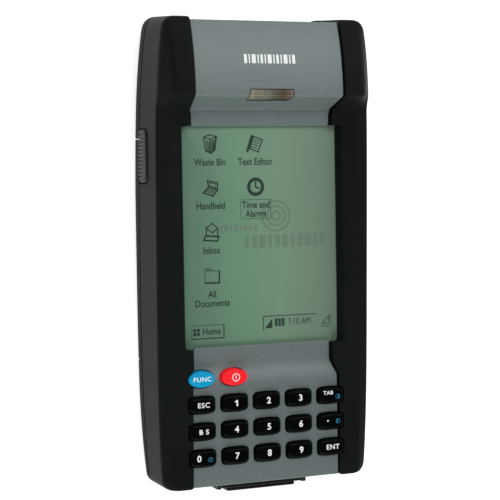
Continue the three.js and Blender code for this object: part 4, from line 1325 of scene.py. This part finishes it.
def key_legend(label):
    """The white marks on a key, drawn about its centre, and its small blue sign if it has one.

    The 1 is drawn with strokes, as a stem and a short flag.
    """
    if label == "power":
        return [key_ring(0.2, 0, 1.35, 0.28), key_stroke(0.2, -0.65, 0.2, 0.65, 0.32)], []
    if label == "1":
        return [key_stroke(0.45, -0.95, 0.45, 0.95, 0.58), key_stroke(-0.25, 0.42, 0.3, 0.92, 0.42)], []
    if label == "point":
        return [key_mark("dot", disc(-1.6, 0.3, 0.32, 14))], half_moon(2.6, 0, -1)
    setting = LEGEND_SETTING.get(label, NUMERAL_SETTING)
    letters = [key_letters(LEGENDS.get(label, label), *setting)]
    if label == "tab":
        return letters, half_moon(2.6, -0.5, 1)
    if label == "0":
        return letters, small_sun(2.5, -0.4)
    return letters, []


def make_keys():
    colours = {"key_function": "blue_key", "key_power": "red_key"}
    for node in KEY_NODES:
        low, high = box_mm(node)
        centre = (low + high) / 2
        slot = colours.get(node, "black_key")
        cap = key_cap(node + "_cap", centre, high.z, node in OVAL_KEYS, slot)
        ready(cap, node, node, slot=slot)
        label = node.removeprefix("key_")
        white, blue = (stacked(laid_on_key(marks, centre, high.z)) for marks in key_legend(label))
        ready(joined(node + "_legend", white, "legend_white"), node, slot="white_plastic")
        if blue:
            ready(joined(node + "_sign", blue, "legend_blue"), node, slot="blue_key")


make_keys()

# ------------ ends: scan window, dock, stylus, screws


def scan_window():
    low, high = box_mm("scan_window")
    outline = rounded_box(low.x, high.x, low.z, high.z, 1.4)
    window = swept("scan_window_pane", outline, "y", low.y, high.y, "scan_window", 0.2)
    return ready(window, "case", "scan_window", slot="scan_window")


scan_window()


def dock_connector():
    """The stepped connector with a row of gilt pins in its slot."""
    low, high = box_mm("dock_connector")
    step_y = BODY_BOTTOM - 1.9
    slot_low, slot_high = low.z + 3.0, high.z - 2.7
    base = swept("dock_base", rounded_box(low.x, high.x, low.z, high.z, 0.5), "y", step_y, high.y, None, 0.3)
    tongue_outline = rounded_box(-13.5, 13.5, low.z + 1.4, high.z - 0.9, 0.6)
    fused(base, swept("dock_tongue", tongue_outline, "y", low.y, BODY_BOTTOM, None, 0.35))
    cut(base, swept("slot", rounded_box(-11.5, 11.5, slot_low, slot_high, 0.3), "y", low.y - 1, low.y + 2.4))
    paint(base, "black_plastic")
    ready(base, "case", "dock_connector", slot="black_plastic")
    count, reach = 14, 10
    middle = (slot_low + slot_high) / 2
    pins = []
    for i in range(count):
        x = reach * (2 * i / (count - 1) - 1)
        outline = rounded_box(x - 0.28, x + 0.28, middle - 0.25, middle + 0.25, 0.1, 3)
        pins.append(swept("pin", outline, "y", low.y + 0.5, low.y + 2.6, None, 0.08))
    ready(joined("dock_pins", pins, "gold_contact"), "case", slot="gold_contact")


dock_connector()


def stylus():
    low, high = box_mm("stylus")
    x, _, z = centre_mm("stylus")
    radius, length = (high.x - low.x) / 2, high.y - low.y
    slim, waist = radius - 0.3, radius - 0.25
    tip = [(0.35, 0), (0.55, 0.25), (0.8, 2.5), (1.4, 6), (radius - 0.45, 8.5), (slim, 10)]
    grip = [(slim, length - 17), (waist, length - 16), (radius, length - 15), (radius, length - 5)]
    groove = [(waist, length - 4.6), (waist, length - 4.0), (radius, length - 3.6)]
    end = [(radius, length - 0.9), (waist, length - 0.3), (radius - 0.8, length)]
    profile = tip + grip + groove + end
    rings = [[(px, low.y + along, pz) for px, pz in disc(x, z, r, 36)] for r, along in profile]
    pen = loft("stylus_barrel", rings, "black_plastic", 30)
    return ready(pen, "stylus", "stylus", slot="black_plastic")


stylus()


def case_screw(number):
    """A pan-head screw with a cross recess, its head towards the back."""
    node = f"case_screw_{number}"
    low, high = box_mm(node)
    x, y, _ = centre_mm(node)
    radius = (high.x - low.x) / 2
    shares = [(0.6, 0), (0.85, 0.12), (0.97, 0.4), (1, 0.8), (1, 1.3)]
    profile = [(radius * share, h) for share, h in shares] + [(1.2, 1.3)]
    thread = []
    for i in range(16):
        z = 1.5 + 0.45 * i
        thread += [(1.2, z), (0.98, z + 0.22)]
    profile += thread + [(1.0, high.z - low.z - 0.3), (0.5, high.z - low.z)]
    rings = [[(px, py, low.z + along) for px, py in disc(x, y, r, 28)] for r, along in profile]
    screw = loft("screw", rings, None, 30)
    for w, h in ((1.2, 0.24), (0.24, 1.2)):
        cut(screw, block("arm", x - w, x + w, y - h, y + h, low.z - 1, low.z + 0.7, None, 0, 0.1))
    screw.name = node + "_turned"
    paint(screw, "steel")
    return ready(screw, "case", node, slot="steel")


for number in range(1, 5):
    case_screw(number)

# ------------ floor, lights and camera

FLOOR_Z = -0.0002


def add_floor():
    """A round pale floor that curves up into a low wall far behind the object."""
    reach, cove, height, sides = 2.5, 0.4, 0.7, 96
    bend = [math.pi / 2 * i / 8 for i in range(9)]
    profile = [(reach - cove + cove * math.sin(a), FLOOR_Z + cove * (1 - math.cos(a))) for a in bend]
    profile.append((reach, height))
    verts = [(0, 0, FLOOR_Z)]
    for radius, z in profile:
        verts += [(x, y, z) for x, y in disc(0, 0, radius, sides)]
    faces = [(0, 1 + i, 1 + (i + 1) % sides) for i in range(sides)]
    for r in range(len(profile) - 1):
        for i in range(sides):
            a, b = 1 + r * sides + i, 1 + r * sides + (i + 1) % sides
            faces.append((a, a + sides, b + sides, b))
    mesh = bpy.data.meshes.new("floor")
    mesh.from_pydata(verts, [], faces)
    mesh.shade_smooth()
    floor = add_object("floor", mesh)
    material, tree, shader = new_material("pale_floor", grey(0.85), 0.9)
    grain = noise(tree, 40, 2)
    tone = ramp(tree, grain.outputs["Fac"], [(0.3, grey(0.84)), (0.7, grey(0.86))])
    tree.links.new(tone, shader.inputs["Base Color"])
    add_glow(material, grey(1), 0.72)
    mesh.materials.append(material)


def add_area(name, location, size, power, target=(0, 0, 0.02)):
    light = bpy.data.lights.new(name, "AREA")
    light.shape = "RECTANGLE"
    light.size, light.size_y = size
    light.energy = power
    holder = add_object(name, light)
    holder.location = location
    direction = Vector(target) - Vector(location)
    holder.rotation_euler = direction.to_track_quat("-Z", "Y").to_euler()


def add_lights():
    add_area("top_softbox", (0.2, 0.6, 0.95), (0.9, 0.6), 4.4)
    add_area("left_softbox", (-0.8, 0.25, 0.12), (0.9, 0.2), 0.05)
    add_area("right_softbox", (0.75, 0.35, 0.45), (0.25, 0.7), 1.1)
    add_area("front_fill", (-0.15, -0.8, 0.6), (0.9, 0.5), 4.35)
    world = bpy.data.worlds.new("studio")
    bpy.context.scene.world = world
    world.use_nodes = True
    background = world.node_tree.nodes["Background"]
    background.inputs["Color"].default_value = (1, 1, 1, 1)
    background.inputs["Strength"].default_value = 0.13


def add_camera():
    """A long lens, turned to the device's left and a little above its middle."""
    yaw, pitch, roll = (math.radians(a) for a in (22.34, 3.09, 0.96))
    turn = Matrix.Rotation(roll, 3, "Z") @ Matrix.Rotation(pitch, 3, "X") @ Matrix.Rotation(yaw, 3, "Y")
    screen_in_view = Vector((4.0, 4.8, -544.9)) * MM
    screen_centre = Vector((0, SCREEN_Y, SCREEN_Z)) * MM
    camera = add_object("camera", bpy.data.cameras.new("camera"))
    camera.data.sensor_width = 36
    camera.data.lens = 108
    camera.data.clip_start = 0.01
    back = turn.transposed()
    camera.matrix_world = Matrix.Translation(screen_centre - back @ screen_in_view) @ back.to_4x4()
    bpy.context.scene.camera = camera


add_floor()
add_lights()
add_camera()
bpy.context.scene.view_settings.view_transform = "Standard"
